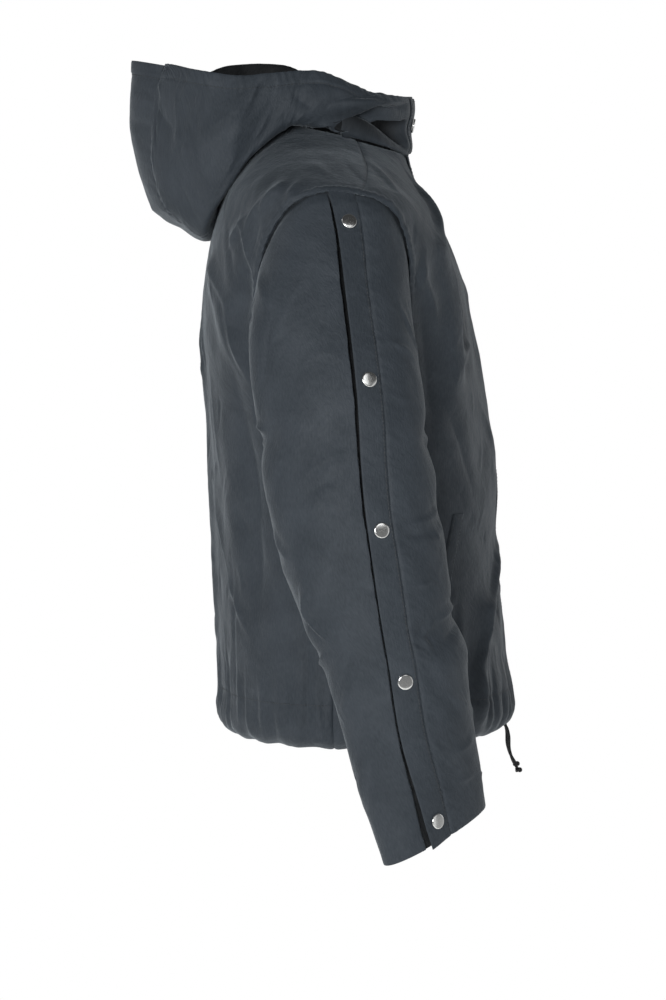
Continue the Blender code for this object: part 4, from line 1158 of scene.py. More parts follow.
def body_panel(node, cut, cells, columns, centre_angle, side, count, seams):
    """A body panel: the laid cut on the body form, moved out by its heights and rolled in at its seams.
    Its seams say whether the low edge is sewn, both edges are side seams, the last one lies under its
    neighbour, and the first one under the placket."""
    u, v = grid(columns, BODY_ROWS)
    angle, level, run = laid(cut, cells, u, v, centre_angle)
    angle = side * angle
    form = torso(angle, level)
    height = body_height(angle, level, form) + gathered(u, run, level, count)
    if "placket" in seams:
        height = height - under_placket(run)
    below = 1 - ease((v - SIDE_SHARE) / SIDE_FADE)
    height = height + groove(from_end(form, 0)) * below
    if "low" in seams:
        height = height + groove(lengths(form, 0)) * (below if "both" in seams else 1)
    to_hole, hole_run = from_armhole(form)
    height = height + LIP_HEIGHT * bell((to_hole - LIP_PLACE) / LIP_HALF)
    height = height + puckers(hole_run, to_hole, *HOLE_PUCKER) + roll(to_hole, *EDGE_ROLL)
    height = height + groove(from_end(form, 1)) + roll(lengths(form, 1), *HEM_ROLL)
    normal = torso_normal(angle, level)
    outer = form + normal * height[..., None]
    scant = np.full(len(BODY_ROWS), SCANT)
    tucked = np.where(v[-1] < SIDE_SHARE, TURN_IN, scant)
    outer = turned_in(outer, normal, 0, tucked if "under" in seams else scant)
    if "both" in seams:
        outer = turned_in(outer[::-1], normal[::-1], 0, scant)[::-1]
    line, line_normal = grid_line(outer, BODY_MIDDLE, outer[..., 2], CHANNEL_LEVEL)
    inner = slice(END_LINES, -END_LINES)
    stitches = stitch_row(node, [(line[inner], line_normal[inner])])
    cloth(node, outer, form, BODY_MIDDLE, stitches)


# Sleeves


ARM_MIDDLE = torso(*armhole(np.arange(0.0, 360.0, 5.0))).mean(axis=0)


def armhole_rim(turn):
    """First ring of the +X sleeve: the armhole's edge on the body, drawn in a little to its middle."""
    angle, level = armhole(turn)
    edge = torso(angle, level) + torso_normal(angle, level) * SEAM
    return ARM_MIDDLE + (edge - ARM_MIDDLE) * (1 - ARMHOLE_EASE)


def cap_tuck(turn):
    """Seam allowance of the sleeve's head: past the armhole's edge, sunk under the body."""
    angle, level = armhole(turn)
    edge = torso(angle, level)
    return edge + unit(edge - ARM_MIDDLE) * CAP_TUCK - torso_normal(angle, level) * CAP_DEPTH


def sleeve_rings(turn):
    """Every ring of the +X sleeve at a turn, the armhole first: an ellipse through its four points."""
    cosine = np.cos(np.radians(turn))
    sine = np.sin(np.radians(turn))
    rings = [armhole_rim(turn)]
    for front_y, front_z, back_y, back_z, outer_x, outer_z, inner_x, inner_z, lean in SLEEVE:
        x = (outer_x + inner_x) / 2 + (outer_x - inner_x) / 2 * cosine - lean * sine
        y = (front_y + back_y) / 2 + (front_y - back_y) / 2 * sine
        z = (front_z + back_z + outer_z + inner_z) / 4
        z = z + (outer_z - inner_z) / 2 * cosine + (front_z - back_z) / 2 * sine
        rings.append(np.stack([x, y, z], axis=-1))
    return np.stack(rings)


def ring_knots():
    """Share of the sleeve's length at which each ring lies, from the mean gaps between the rings."""
    rings = sleeve_rings(np.array([0.0, 90.0, 270.0]))
    gaps = np.linalg.norm(np.diff(rings, axis=0), axis=-1).mean(axis=1)
    return np.concatenate([[0], np.cumsum(gaps)]) / gaps.sum()


RING_KNOTS = ring_knots()


def sleeve_form(turn, along):
    """Form of the +X sleeve: cubic pieces from ring to ring, moved out by its large folds."""
    wrapped = np.mod(turn + SLEEVE_WRAP, 360) - SLEEVE_WRAP
    height = folds(SLEEVE_FOLDS, SLEEVE_SCALE, wrapped, along)
    out = np.stack([np.cos(np.radians(turn)), -np.sin(np.radians(turn)), np.zeros(np.shape(turn))], axis=-1)
    return stack_at(RING_KNOTS, sleeve_rings(turn), along) + height[..., None] * out


def sleeve_normal(turn, along):
    """Unit normal of the sleeve form."""
    return form_normal(sleeve_form, turn, along, SLEEVE_STEPS)


def placket_edges(along):
    """Turns of the sleeve placket's free edge and of its seam, a placket's width further round."""
    free = table_at(RING_KNOTS, SLEEVE_EDGE, along)[..., 0]
    beside = free + BESIDE_EDGE
    per_degree = np.linalg.norm(sleeve_form(beside + 1, along) - sleeve_form(beside, along), axis=-1)
    return free, free + SLEEVE_PLACKET / per_degree


def sleeve_height(word, side, turn, along, form):
    """What stands off the sleeve form: creases and crumple, a sunk and puckered head, a rolled cuff."""
    from_cap = along * SLEEVE_SCALE[1]
    radians = np.radians(turn)
    pucker = np.sin(CAP_PUCKERS * radians + 2 * np.sin(3 * radians)) * bell(from_cap / CAP_PUCKER_RUN)
    rows = [*SLEEVE_CREASES[word], *SLEEVE_WRINKLES[word]]
    height = creases(rows, SLEEVE_SCALE, turn, along) + crumple(mirrored(form, side))
    height = height * ease(from_cap / CAP_CALM) + CAP_PUCKER * pucker
    height = height - CAP_SINK * (1 - ease(from_cap / CAP_RUN))
    return height + roll((1 - along) * SLEEVE_SCALE[1], *HEM_ROLL)


def with_painted_seam_shade(painted_shade_values, along):
    """Painted shade of a sleeve panel's places: as given, and at least the painted shade of its head's seam
    crease, which fades down the sleeve; the seam allowance comes first and is fully darkened."""
    shade, reach = CAP_PAINTED_SHADE
    head = shade * (1 - ease(along * SLEEVE_SCALE[1] / reach))
    return np.pad(np.maximum(painted_shade_values, head), ((0, 0), (1, 0)), constant_values=1.0)


def sleeve_middle(side):
    """Points down the middle of a sleeve, one for each row of its grids."""
    form = sleeve_form(*grid(np.arange(0.0, 360.0, 45.0), fine_ends(SLEEVE_ROWS)))
    return mirrored(form.mean(axis=0), side)


def with_tuck(points, turn, side):
    """A sleeve panel's points with the seam allowance of its head put before its first row."""
    return np.concatenate([mirrored(cap_tuck(turn), side)[:, None], points], axis=1)


def sleeve_front_half(word, side):
    """Front half of a sleeve, from the placket's seam round to the underarm seam."""
    share, along = grid(fine_ends(SLEEVE_FRONT_CELLS), fine_ends(SLEEVE_ROWS))
    seam = placket_edges(along)[1]
    turn = seam + (180 - UNDERARM_EASE - seam) * share
    form = sleeve_form(turn, along)
    height = sleeve_height(word, side, turn, along, form)
    height = height + groove(lengths(form, 0)) + groove(from_end(form, 0))
    height = height + puckers(lengths(form, 1), lengths(form, 0), *SLEEVE_PUCKER)
    outer = form + sleeve_normal(turn, along) * height[..., None]
    # Painted shade: the crease of the head's seam and the seam allowance are darkened
    return with_tuck(mirrored(outer, side), turn[:, 0], side), form, with_painted_seam_shade(0.0, along)


def sleeve_back_half(word, side):
    """Back half of a sleeve, from the underarm seam to its underlap below the placket. It stays up until
    the gap beside the free edge, whose width wavers a little, and there drops steeply under the strip,
    less so near the cuff."""
    rows = fine_ends(SLEEVE_ROWS)
    free, seam = placket_edges(rows)
    per_metre = (seam - free) / SLEEVE_PLACKET
    near = 360 + free + (UNDERLAP - NEAR_LINES[::-1, None]) * per_metre
    share = np.linspace(0, 1, SLEEVE_BACK_CELLS + 1)[:-1, None]
    underarm = 180 + UNDERARM_EASE
    turn = np.concatenate([underarm + (near[0] - underarm) * share, near])
    along = np.broadcast_to(rows, turn.shape)
    short = (360 + free - turn) / per_metre
    form = sleeve_form(turn, along)
    gap = table_at(RING_KNOTS, SLEEVE_EDGE, along)[..., 2]
    gap = gap + GAP_WAVER * (np.sin(GAP_WAVES[0] * along) + np.sin(GAP_WAVES[1] * along + 1))
    under = ease(1 - (short - gap + GAP_STEEP) / GAP_STEEP) * ease(along / GAP_START)
    start, reach, closed = GAP_CLOSES
    depth = GAP_DEPTH * (1 - closed * ease((along - start) / reach))
    height = sleeve_height(word, side, turn, along, form) + groove(lengths(form, 0)) - depth * under
    outer = form + sleeve_normal(turn, along) * height[..., None]
    # Painted shade: where this half drops under the strip, beside the gap, it is darkened, as are the head's
    # seam crease and the seam allowance
    return with_tuck(mirrored(outer, side), turn[:, 0], side), form, with_painted_seam_shade(under, along)


def sleeve_snap_rows():
    """Shares along a sleeve of its snaps, from their distances down the middle of the placket."""
    along = np.linspace(0, 1, SNAP_SEARCH)
    line = sleeve_form(sum(placket_edges(along)) / 2, along)
    return np.interp(SLEEVE_SNAP_LENGTHS, run_along(line), along)


SNAP_ROWS = sleeve_snap_rows()


def strip_bow(along):
    """How far the strip's free edge bows out between each pair of snaps: half a sine wave each."""
    low = np.clip(np.searchsorted(SNAP_ROWS, along) - 1, 0, len(STRIP_BOW) - 1)
    share = np.clip((along - SNAP_ROWS[low]) / (SNAP_ROWS[low + 1] - SNAP_ROWS[low]), 0, 1)
    return np.array(STRIP_BOW)[low] * np.sin(np.pi * share)


def strip_points(word, side, share, along, depth):
    """Sleeve placket: on the sleeve form between its two edges, its free edge lifted and bowed between
    the snaps, pressed in round them, and each layer at its depth."""
    free, seam = placket_edges(along)
    turn = free + (seam - free) * share
    form = sleeve_form(turn, along)
    lift = table_at(RING_KNOTS, SLEEVE_EDGE, along)[..., 1] + strip_bow(along)
    height = lift * np.clip(1 - share, 0, 1) ** LIFT_POWER + depth
    height = height + sleeve_height(word, side, turn, along, form) * (STRIP_CALM + (1 - STRIP_CALM) * share)
    nearest = np.abs(along[..., None] - SNAP_ROWS).min(axis=-1) * SLEEVE_SCALE[1]
    away = np.hypot((share - MIDDLE) * SLEEVE_PLACKET, nearest)
    height = height - SNAP_DIMPLE * bell(away / SNAP_DIMPLE_HALF)
    to_seam = (1 - share) * SLEEVE_PLACKET
    height = height + groove(to_seam) + puckers(along * SLEEVE_SCALE[1], to_seam, *STRIP_PUCKER)
    return mirrored(form + sleeve_normal(turn, along) * height[..., None], side)


def strip_grid(rows):
    """Share across, place along and depth of a folded strip's cross-section at each of its rows."""
    share, along = grid(STRIP_SECTION[:, 0], rows)
    return share, along, np.broadcast_to(STRIP_SECTION[:, 1][:, None], share.shape)


def sleeve_strip(word, side):
    """The sleeve placket's grid, with rows at the snaps."""
    return strip_points(word, side, *strip_grid(np.sort(np.append(fine_ends(SLEEVE_ROWS), SNAP_ROWS))))


def seated(points, across, along):
    """Place and normal on a surface function, for a snap or a row of stitches."""
    across = np.broadcast_to(across, np.shape(along))
    return points(across, along), form_normal(points, across, along, SEAT_STEPS)


# Hood


NAPE = len(HOOD_NECK) - 1
LAST_STATION = NAPE + len(HOOD_SEAM)
STATIONS = np.arange(LAST_STATION + 1.0)
SEAM_LINE = np.concatenate([torso(HOOD_NECK[-1:, 0], np.array([HOOD_START])), HOOD_SEAM[:, :3]])
FOLD_COLUMN = np.concatenate([HOOD_NECK[:, 8], np.zeros(len(HOOD_SEAM))])
HOOD_COLUMNS = np.column_stack([np.concatenate([HOOD_NECK[:, 1:8], HOOD_SEAM[:, 4:11]]), FOLD_COLUMN])


def neck_line(angle):
    """Foot of the hood on the body's neckline."""
    return torso(angle, np.full(np.shape(angle), HOOD_START))


def hood_form(station, height, side):
    """Form of a hood side: at each station a cubic curve from neckline or gusset seam over foot and belly
    to the rim, moved out by the throat's rolls and the large folds."""
    neck_angle = np.interp(station, STATIONS[: NAPE + 1], HOOD_NECK[:, 0])
    on_seam = table_at(STATIONS[NAPE:], SEAM_LINE, station)
    low = np.where((station < NAPE)[..., None], neck_line(neck_angle), on_seam)
    shaped = table_at(STATIONS, HOOD_COLUMNS, station)
    foot_reach, foot_z, belly_reach, belly_z, fold = np.moveaxis(shaped[..., 3:], -1, 0)
    rim = shaped[..., :3].copy()
    if side > 0:
        along = np.clip((station - LIFT_CLEAR) / (LAST_STATION - 2 * LIFT_CLEAR), 0, 1)
        rim[..., 2] += HOOD_LEFT_LIFT * np.sin(np.pi * along) ** 2
    out = (low + rim) / 2 - np.array([0.0, HOOD_CENTRE_Y, 0.0])
    out = unit(out * np.array([1.0, HOOD_SPREAD, 0.0]) + np.array([1e-6, 0.0, 0.0]))
    foot = low + out * foot_reach[..., None]
    foot[..., 2] = foot_z
    belly = rim + out * belly_reach[..., None]
    belly[..., 2] = belly_z
    h = height[..., None]
    points = (1 - h) ** 3 * low + 3 * h * (1 - h) ** 2 * foot + 3 * h**2 * (1 - h) * belly + h**3 * rim
    waves = fold * np.sin(THROAT_ROLLS * np.pi * height * (1 + ROLL_DRIFT - ROLL_DRIFT * height))
    raised = waves + folds(HOOD_FOLDS, HOOD_SCALE, station, height)
    return mirrored(points + raised[..., None] * out, side)


def hem_band(distance):
    """Turned hem of the hood's rim: a raised band that ends in a stitched groove, rounded at the edge."""
    depth, half = HOOD_HEM_GROOVE
    band = HOOD_HEM_HEIGHT * (1 - ease((distance - HOOD_HEM + HOOD_HEM_STEP) / HOOD_HEM_STEP))
    return band - depth * bell((distance - HOOD_HEM) / half) + roll(distance, *RIM_ROLL)


def throat_laps(station, height):
    """Two laps at the throat: below its line each drops steeply; the upper one then comes out slowly, the
    lower one stays in as a recess down to the neck's roll. Also gives how far a place is in the recess."""

    def lap(line, begin, end, past):
        fade = ease((station - THROAT_START) / begin) * ease((line[-1, 0] + past - station) / end)
        return np.interp(station, *line.T) - height, fade

    below, fade = lap(THROAT_FOLD, *FOLD_ENDS)
    drop, out = FOLD_RUN
    total = -FOLD_DROP * fade * ease(below / drop) * (1 - ease((below - drop) / out))
    below, fade = lap(THROAT_RECESS, *RECESS_ENDS)
    drop, out = RECESS_RUN
    recess = fade * ease(below / drop) * ease((height - NECK_ROLL) / out)
    return total - RECESS_DROP * recess, recess


def hood_side(word, side):
    """A hood side with its creases, the laps of the throat, its hem at the rim, and its seams to neck and
    gusset rolled in; it also gives the painted shade of the throat's recess."""
    stations = np.linspace(0.0, LAST_STATION, HOOD_CELLS[0] + 1)
    station, height = grid(stations, fine_ends(HOOD_CELLS[1]))
    form = hood_form(station, height, side)
    normal = grid_normal(form, HOOD_MIDDLE)
    from_seam = lengths(form, 1)
    start, reach = FRONT_CALM
    clear = ease((station - start) / reach) * ease(from_seam[:, -1:] / HOOD_CALM)
    rows = [*HOOD_CREASES[word], *HOOD_WRINKLES[word]]
    raised = creases(rows, HOOD_SCALE, station, height) + crumple(form)
    raised = raised + puckers(station * STATION_RUN, from_seam, *HOOD_PUCKER)
    raised = raised * ease(from_seam / SEAM_CALM) + SIDE_GROOVE * groove(from_seam)
    raised = raised + puckers(lengths(form, 0) + RIM_SHIFT, from_end(form, 1), *RIM_PUCKER)
    raised = (raised + hem_band(from_end(form, 1))) * clear
    lapped, recess = throat_laps(station, height)
    raised = raised + lapped * THROAT_CHANGE[word]
    outer = form + normal * raised[..., None]
    reach = np.full(len(stations), TURN_IN)
    outer = turned_in(outer[:, ::-1], normal[:, ::-1], 1, reach)[:, ::-1]
    # Painted shade: places in the throat's recess are darkened by the square root of how far they lie in it;
    # the turned-in row gets none
    return outer, form, np.pad(np.sqrt(recess), ((0, 0), (1, 0)))


def gusset_form(across, along):
    """Form of the gusset: straight between its two seams, bowed out across as one less the square, and
    eased onto the neckline at the nape; along counts hood stations."""
    places = (along, along - GUSSET_STEP, along + GUSSET_STEP)
    seam, before, after = (table_at(STATIONS[NAPE:], SEAM_LINE, place) for place in places)
    ahead = after - before
    bulges = np.concatenate([[0.0], HOOD_SEAM[:, 3]])
    bulge = table_at(STATIONS[NAPE:], bulges[:, None], along)
    out = unit(np.stack([np.zeros(along.shape), ahead[..., 2], -ahead[..., 1]], axis=-1))
    flat = np.stack([across, np.ones(across.shape), np.ones(across.shape)], axis=-1)
    bow = neck_line(180 - (180 - HOOD_NECK[-1, 0]) * across) - SEAM_LINE[0] * flat
    near_nape = 1 - ease(along - NAPE)
    return seam * flat + out * bulge * (1 - across[..., None] ** 2) + bow * near_nape[..., None]


def hood_gusset():
    """The gusset with its cross creases, its hem at the rear rim and its two seams rolled in."""
    share, along = grid(fine_ends(GUSSET_CELLS[0]), np.linspace(0, 1, GUSSET_CELLS[1] + 1))
    across = (2 * share - 1) * (1 - GUSSET_EASE)
    along = NAPE + (LAST_STATION - NAPE) * along
    form = gusset_form(across, along)
    raised = creases(HOOD_CREASES["gusset"], GUSSET_SCALE, across, along) + crumple(form)
    nearest = from_edge(form, axes=(0,))
    raised = raised + puckers(along * STATION_RUN, nearest, *GUSSET_PUCKER) + hem_band(from_end(form, 1))
    raised = raised * ease(nearest / SEAM_CALM) + GUSSET_GROOVE * groove(nearest)
    normal = grid_normal(form, GUSSET_MIDDLE)
    outer = form + normal * raised[..., None]
    reach = np.full(outer.shape[1], GUSSET_TURN_IN)
    outer = turned_in(outer, normal, 0, reach, GUSSET_SINK)
    return turned_in(outer[::-1], normal[::-1], 0, reach, GUSSET_SINK)[::-1], form


def throat_points(across, height):
    """Closing tab: straight from the hood's front centre to its first division on both sides, stood off."""
    centre = hood_form(np.full(height.shape, HOOD_EDGE), height, 1) * np.array([0.0, 1.0, 1.0])
    beside = hood_form(np.full(height.shape, TAB_STATION), height, 1)
    reach = (np.abs(across) * TAB_REACH)[..., None]
    points = centre + (beside - centre) * reach
    points[..., 0] *= np.sign(across)
    return points + np.array([0.0, -1.0, 0.0]) * TAB_STAND


def throat_tab():
    """The tab's grid, its edges rolled over."""
    share, height = grid(fine_ends(TAB_CELLS[0]), fine_ends(TAB_CELLS[1]))
    points = throat_points(2 * share - 1, TAB_EDGE + (1 - 2 * TAB_EDGE) * height)
    return points - np.array([0.0, 1.0, 0.0]) * roll(from_edge(points), *TAB_ROLL)[..., None]


# Strip and welts on the body


def front_points(share, level, depth):
    """Front placket: the body form between its free edge on the wearer's right and its seam on the left,
    each layer at its depth."""
    run = FRONT_PLACKET * (share - MIDDLE)
    angle = angle_at(run, level, 0)
    form = torso(angle, level)
    height = body_height(angle, level, form) + depth + groove((1 - share) * FRONT_PLACKET)
    nearest = np.abs(level[..., None] - np.array(FRONT_SNAP_LEVELS)).min(axis=-1)
    height = height - SNAP_DIMPLE * bell(np.hypot(run, nearest) / SNAP_DIMPLE_HALF)
    return form + torso_normal(angle, level) * height[..., None]


def front_top(share, level):
    """The front placket's face."""
    return front_points(share, level, 0.0)


def front_strip():
    """The front placket's grid, with closer rows at the hem."""
    low = np.linspace(0, HEM_SHARE, FRONT_HEM_ROWS)
    share, along, depth = strip_grid(np.append(low, np.linspace(HEM_SHARE, 1, FRONT_ROWS)[1:]))
    return front_points(share, HEM_LEVEL + (NECK_LEVEL - FRONT_TOP_GAP - HEM_LEVEL) * along, depth)


def welt_points(side, share, along):
    """Pocket welt: a slanted band on the body form, stood off and rolled down at its edges."""
    angle = POCKET_TOP[0] + (POCKET_BOTTOM[0] - POCKET_TOP[0]) * along + WELT_WIDTH * share
    level = POCKET_TOP[1] + (POCKET_BOTTOM[1] - POCKET_TOP[1]) * along
    angle = side * angle
    form = torso(angle, level)
    to_side = np.minimum(share, 1 - share) * WELT_WIDTH * BODY_SCALE[0]
    edge = np.minimum(to_side, np.minimum(along, 1 - along) * WELT_LENGTH)
    height = body_height(angle, level, form) + WELT_STAND + roll(edge, *WELT_ROLL)
    return form + torso_normal(angle, level) * height[..., None]


# Meshes


def piece(name, points, faces, look, uvs, caps=()):
    """Puts points, four-sided faces and any end caps into a mesh at the origin that rides with the
    jacket."""
    mesh = bpy.data.meshes.new(name)
    mesh.from_pydata(points.tolist(), [], faces.tolist() + [cap.tolist() for cap in caps])
    corners = np.concatenate([faces.ravel(), *caps])
    layer = mesh.uv_layers.new(name="cut")
    layer.data.foreach_set("uv", uvs[corners].astype(np.float32).ravel())
    mesh.polygons.foreach_set("use_smooth", np.ones(len(mesh.polygons), bool))
    mesh.set_sharp_from_angle(angle=np.radians(SHARP))
    mesh.materials.append(look)
    mesh.update()
    made = bpy.data.objects.new(name, mesh)
    bpy.context.scene.collection.objects.link(made)
    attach(made, "root")
    return made


def quads(index, across, along):
    """Faces between the neighbouring points of an index grid; a closed direction joins last to first."""
    rolled = index
    if across:
        rolled = np.concatenate([rolled, rolled[:1]], axis=0)
    if along:
        rolled = np.concatenate([rolled, rolled[:, :1]], axis=1)
    corners = (rolled[:-1, :-1], rolled[1:, :-1], rolled[1:, 1:], rolled[:-1, 1:])
    return np.stack(corners, axis=-1).reshape(-1, 4)


def edge_ring(index):
    """The outermost points of an index grid in order round it."""
    return np.concatenate([index[:-1, 0], index[-1, :-1], index[:0:-1, -1], index[0, :0:-1]])


def shell(name, outer, inside, wall, step, painted_shade_mask):
    """Closed cloth wall on a grid: the face, the inner face moved in along the normals by the wall with only
    every step-th line, and a rim round both. Its map is in metres along the cloth. Its painted shade is
    1 on the inner face and follows the given mask on the face."""
    normal = grid_normal(outer, inside) if step == 1 else even_normal(outer, inside)
    deeper = REVERSE_DEPTH * ease(from_edge(outer) / REVERSE_RUN) * (step > 1)
    inner = (outer - normal * (wall + deeper)[..., None])[::step, ::step]
    columns, rows = outer.shape[:2]
    count = columns * rows
    index = np.arange(count).reshape(columns, rows)
    other = np.arange(inner.shape[0] * inner.shape[1]).reshape(inner.shape[:2]) + count
    under = edge_ring(other)
    ring = edge_ring(index).reshape(len(under), step)
    rim = np.column_stack([np.roll(ring[:, 0], -1), ring[:, ::-1], under, np.roll(under, -1)])
    faces = np.concatenate([quads(index, False, False), quads(other, False, False)[:, ::-1]])
    middle = (columns // 2, rows // 2)
    across = outer[middle[0] + 1, middle[1]] - outer[middle]
    along = outer[middle[0], middle[1] + 1] - outer[middle]
    if np.cross(across, along) @ normal[middle] < 0:
        faces = faces[:, ::-1]
        rim = rim[:, ::-1]
    flat = np.stack([lengths(outer, 0), lengths(outer, 1)], axis=-1)
    uvs = np.concatenate([flat.reshape(-1, 2), flat[::step, ::step].reshape(-1, 2)])
    points = np.concatenate([outer.reshape(-1, 3), inner.reshape(-1, 3)])
    made = piece(name, points, faces, NYLON, uvs, rim)
    # Painted shade: a point attribute that darkens the cloth's colour, 1 on the whole inner face and the
    # given mask on the face
    painted_shade = made.data.attributes.new("painted_shade", "FLOAT", "POINT")
    painted_shade_values = np.ones(len(points), np.float32)
    painted_shade_values[:count] = 0 if painted_shade_mask is None else painted_shade_mask.ravel()
    painted_shade.data.foreach_set("value", painted_shade_values)
    return made


def declare_sheet(form):
    """Works out the longest lines of a cloth piece's smooth form across and along; nothing is done with
    them."""
    width = float(lengths(form, 0)[-1].max())
    length = float(lengths(form, 1)[:, -1].max())


def tube(name, path, reference, radius, sides, closed=False):
    """Round cord: a circle carried along a path, in the frame of the path's direction and a reference; open
    ends get a flat cap."""
    before = np.roll(path, 1, axis=0) if closed else np.concatenate([path[:1], path[:-1]])
    after = np.roll(path, -1, axis=0) if closed else np.concatenate([path[1:], path[-1:]])
    ahead = unit(after - before)
    normal = unit(reference - (reference * ahead).sum(axis=-1, keepdims=True) * ahead)
    beside = np.cross(ahead, normal)
    turn = np.linspace(0, 2 * np.pi, sides, endpoint=False)[None, :, None]
    ring = np.cos(turn) * normal[:, None] + np.sin(turn) * beside[:, None]
    points = (path[:, None] + radius * ring).reshape(-1, 3)
    index = np.arange(len(points)).reshape(len(path), sides)
    flat = np.stack(grid(run_along(path), np.arange(sides) / sides), axis=-1)
    caps = () if closed else (index[0, ::-1], index[-1])
    return piece(name, points, quads(index, closed, True)[:, ::-1], BRAID, flat.reshape(-1, 2), caps)


def stitch_row(node, lines):
    """Rows of stitches on a node's cloth: along each line, at even steps of its length, a small spindle of
    four square sections lies on the cloth."""
    sections = np.array([(-0.5, 0.3), (-0.3, 1), (0.3, 1), (0.5, 0.3)])
    corners = np.array([(1, 0), (0, 1), (-1, 0), (0, -1)])
    points = []
    for line, normal in lines:
        run = run_along(line)
        middles = np.arange(STITCH_LENGTH, run[-1] - STITCH_LENGTH, STITCH_LENGTH + STITCH_GAP)
        at = middles[:, None] + sections[:, 0] * STITCH_LENGTH
        centre = np.stack([np.interp(at, run, line[:, axis]) for axis in range(3)], axis=-1)
        up = unit(np.stack([np.interp(at, run, normal[:, axis]) for axis in range(3)], axis=-1))
        beside = unit(np.cross(centre[:, -1:] - centre[:, :1], up))
        thick = sections[:, 1][None, :, None, None] * STITCH_HALF
        spread = corners[:, :1] * beside[:, :, None] * STITCH_WIDE
        spread = spread + (corners[:, 1:] + STITCH_OUT) * up[:, :, None]
        points.append((centre[:, :, None] + thick * spread).reshape(-1, 3))
    points = np.concatenate(points)
    index = np.arange(len(points)).reshape(-1, len(sections), len(corners))
    around = np.roll(index, -1, axis=2)
    sides = np.stack([index[:, :-1], index[:, 1:], around[:, 1:], around[:, :-1]], axis=-1).reshape(-1, 4)
    ends = np.concatenate([index[:, 0], index[:, -1, ::-1]])
    return piece(f"{node}_stitches", points, np.concatenate([sides, ends]), THREAD, points[:, :2])


def snap(name, place, normal):
    """Snap cap: its profile turned round the axis that stands on the cloth."""
    side = unit(np.cross(normal, [0.0, 0.0, 1.0]))
    up = np.cross(side, normal)
    turn = np.linspace(0, 2 * np.pi, SNAP_SIDES, endpoint=False)
    ring = np.cos(turn)[:, None] * side + np.sin(turn)[:, None] * up
    share, height = SNAP_PROFILE.T[:, :, None, None]
    points = place + normal * SNAP_STAND + normal * height + ring * SNAP_RADIUS * share
    index = np.arange(len(SNAP_PROFILE) * SNAP_SIDES).reshape(-1, SNAP_SIDES)
    flat = share * SNAP_RADIUS * np.stack([np.cos(turn), np.sin(turn)], axis=-1)
    faces = quads(index, False, True)[:, ::-1]
    caps = (index[0], index[-1, ::-1])
    made = piece(f"{name}_cap", points.reshape(-1, 3), faces, SILVER, flat.reshape(-1, 2), caps)
    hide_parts(name)


# Finishes


def fill(tree, node, inputs):
    """Wires each named input of a node to a socket, or sets its value."""
    for socket, value in inputs.items():
        if isinstance(value, bpy.types.NodeSocket):
            tree.links.new(value, node.inputs[socket])
        else:
            node.inputs[socket].default_value = value


def adder(tree):
    """The helper that adds a node to a tree, sets it up, fills its inputs and gives one of its outputs."""

    def add(kind, inputs, output=0, **settings):
        node = tree.nodes.new(f"ShaderNode{kind}")
        for key, value in settings.items():
            setattr(node, key, value)
        fill(tree, node, inputs)
        return node.outputs[output]

    return add


def new_finish(name):
    """A material, the helper that adds its nodes and the one that fills its shader's inputs."""
    made = bpy.data.materials.new(name)
    made.use_nodes = True
    tree = made.node_tree
    return made, adder(tree), partial(fill, tree, tree.nodes["Principled BSDF"])


def blend(add, share, first, second):
    """Colour that goes from the first to the second one with a share."""
    return add("Mix", {"Factor": share, 6: first, 7: second}, 2, data_type="RGBA")


def cloth_finish():
    """Charcoal nylon: a fine plain weave, lengthwise grain and crinkle in the bump, faint grain in colour
    and gloss, a soft rim of sheen, and painted shade that darkens the inner face and places in shade."""
    made, add, dress = new_finish("charcoal_nylon")
    place = add("UVMap", {}, uv_map="cut")
    drawn = add("Mapping", {"Vector": place, "Scale": (620.0, 160.0, 1.0)})
    grain = add("TexNoise", {"Vector": drawn, "Scale": 1.0, "Detail": 4.0, "Roughness": 0.6}, "Fac")
    panes = add("TexNoise", {"Vector": place, "Scale": 26.0, "Detail": 4.0, "Distortion": 0.6}, "Fac")
    crinkle = add("TexNoise", {"Vector": place, "Scale": 135.0, "Detail": 3.0, "Distortion": 0.9}, "Fac")
    threads = {"Vector": place, "Scale": 420.0, "Distortion": 1.2}
    weft = add("TexWave", threads, "Fac", bands_direction="X")
    warp = add("TexWave", threads, "Fac", bands_direction="Y")
    weave = add("Math", {0: weft, 1: warp}, operation="MULTIPLY")
    tone = add("Math", {0: grain, 1: panes}, operation="ADD")
    colour = add("MapRange", {"Value": tone, "From Min": 0.72, "From Max": 1.28})
    shade = blend(add, colour, (0.0265, 0.0340, 0.0425, 1.0), (0.0420, 0.0515, 0.0630, 1.0))
    # Painted shade: the point attribute mixes the colour towards a near black shade colour
    painted_shade = add("Attribute", {}, "Fac", attribute_name="painted_shade")
    gloss = {"From Min": 0.6, "From Max": 1.4, "To Min": 0.72, "To Max": 0.58}
    bump = add("Bump", {"Height": weave, "Strength": 0.20, "Distance": 0.0001})
    bump = add("Bump", {"Height": grain, "Strength": 0.40, "Distance": 0.0009, "Normal": bump})
    dress(
        {
            "Base Color": blend(add, painted_shade, shade, (0.0070, 0.0085, 0.0100, 1.0)),
            "Roughness": add("MapRange", {"Value": tone, **gloss}),
            "Normal": add("Bump", {"Height": crinkle, "Strength": 0.28, "Distance": 0.0020, "Normal": bump}),
            "Specular IOR Level": 0.26,
            "Sheen Weight": 0.20,
            "Sheen Roughness": 0.35,
            "Sheen Tint": (0.82, 0.92, 1.0, 1.0),
        }
    )
    return made


def thread_finish():
    """Sewing thread of the cloth's own colour: twisted, so its tone changes in short steps."""
    made, add, dress = new_finish("charcoal_thread")
    place = add("TexCoord", {}, "Object")
    twist = add("TexNoise", {"Vector": place, "Scale": 1800.0, "Detail": 1.0}, "Fac")
    shade = blend(add, twist, (0.016, 0.019, 0.022, 1.0), (0.040, 0.045, 0.050, 1.0))
    bump = add("Bump", {"Height": twist, "Strength": 0.4, "Distance": 0.0002})
    dress({"Base Color": shade, "Normal": bump, "Roughness": 0.6})
    return made


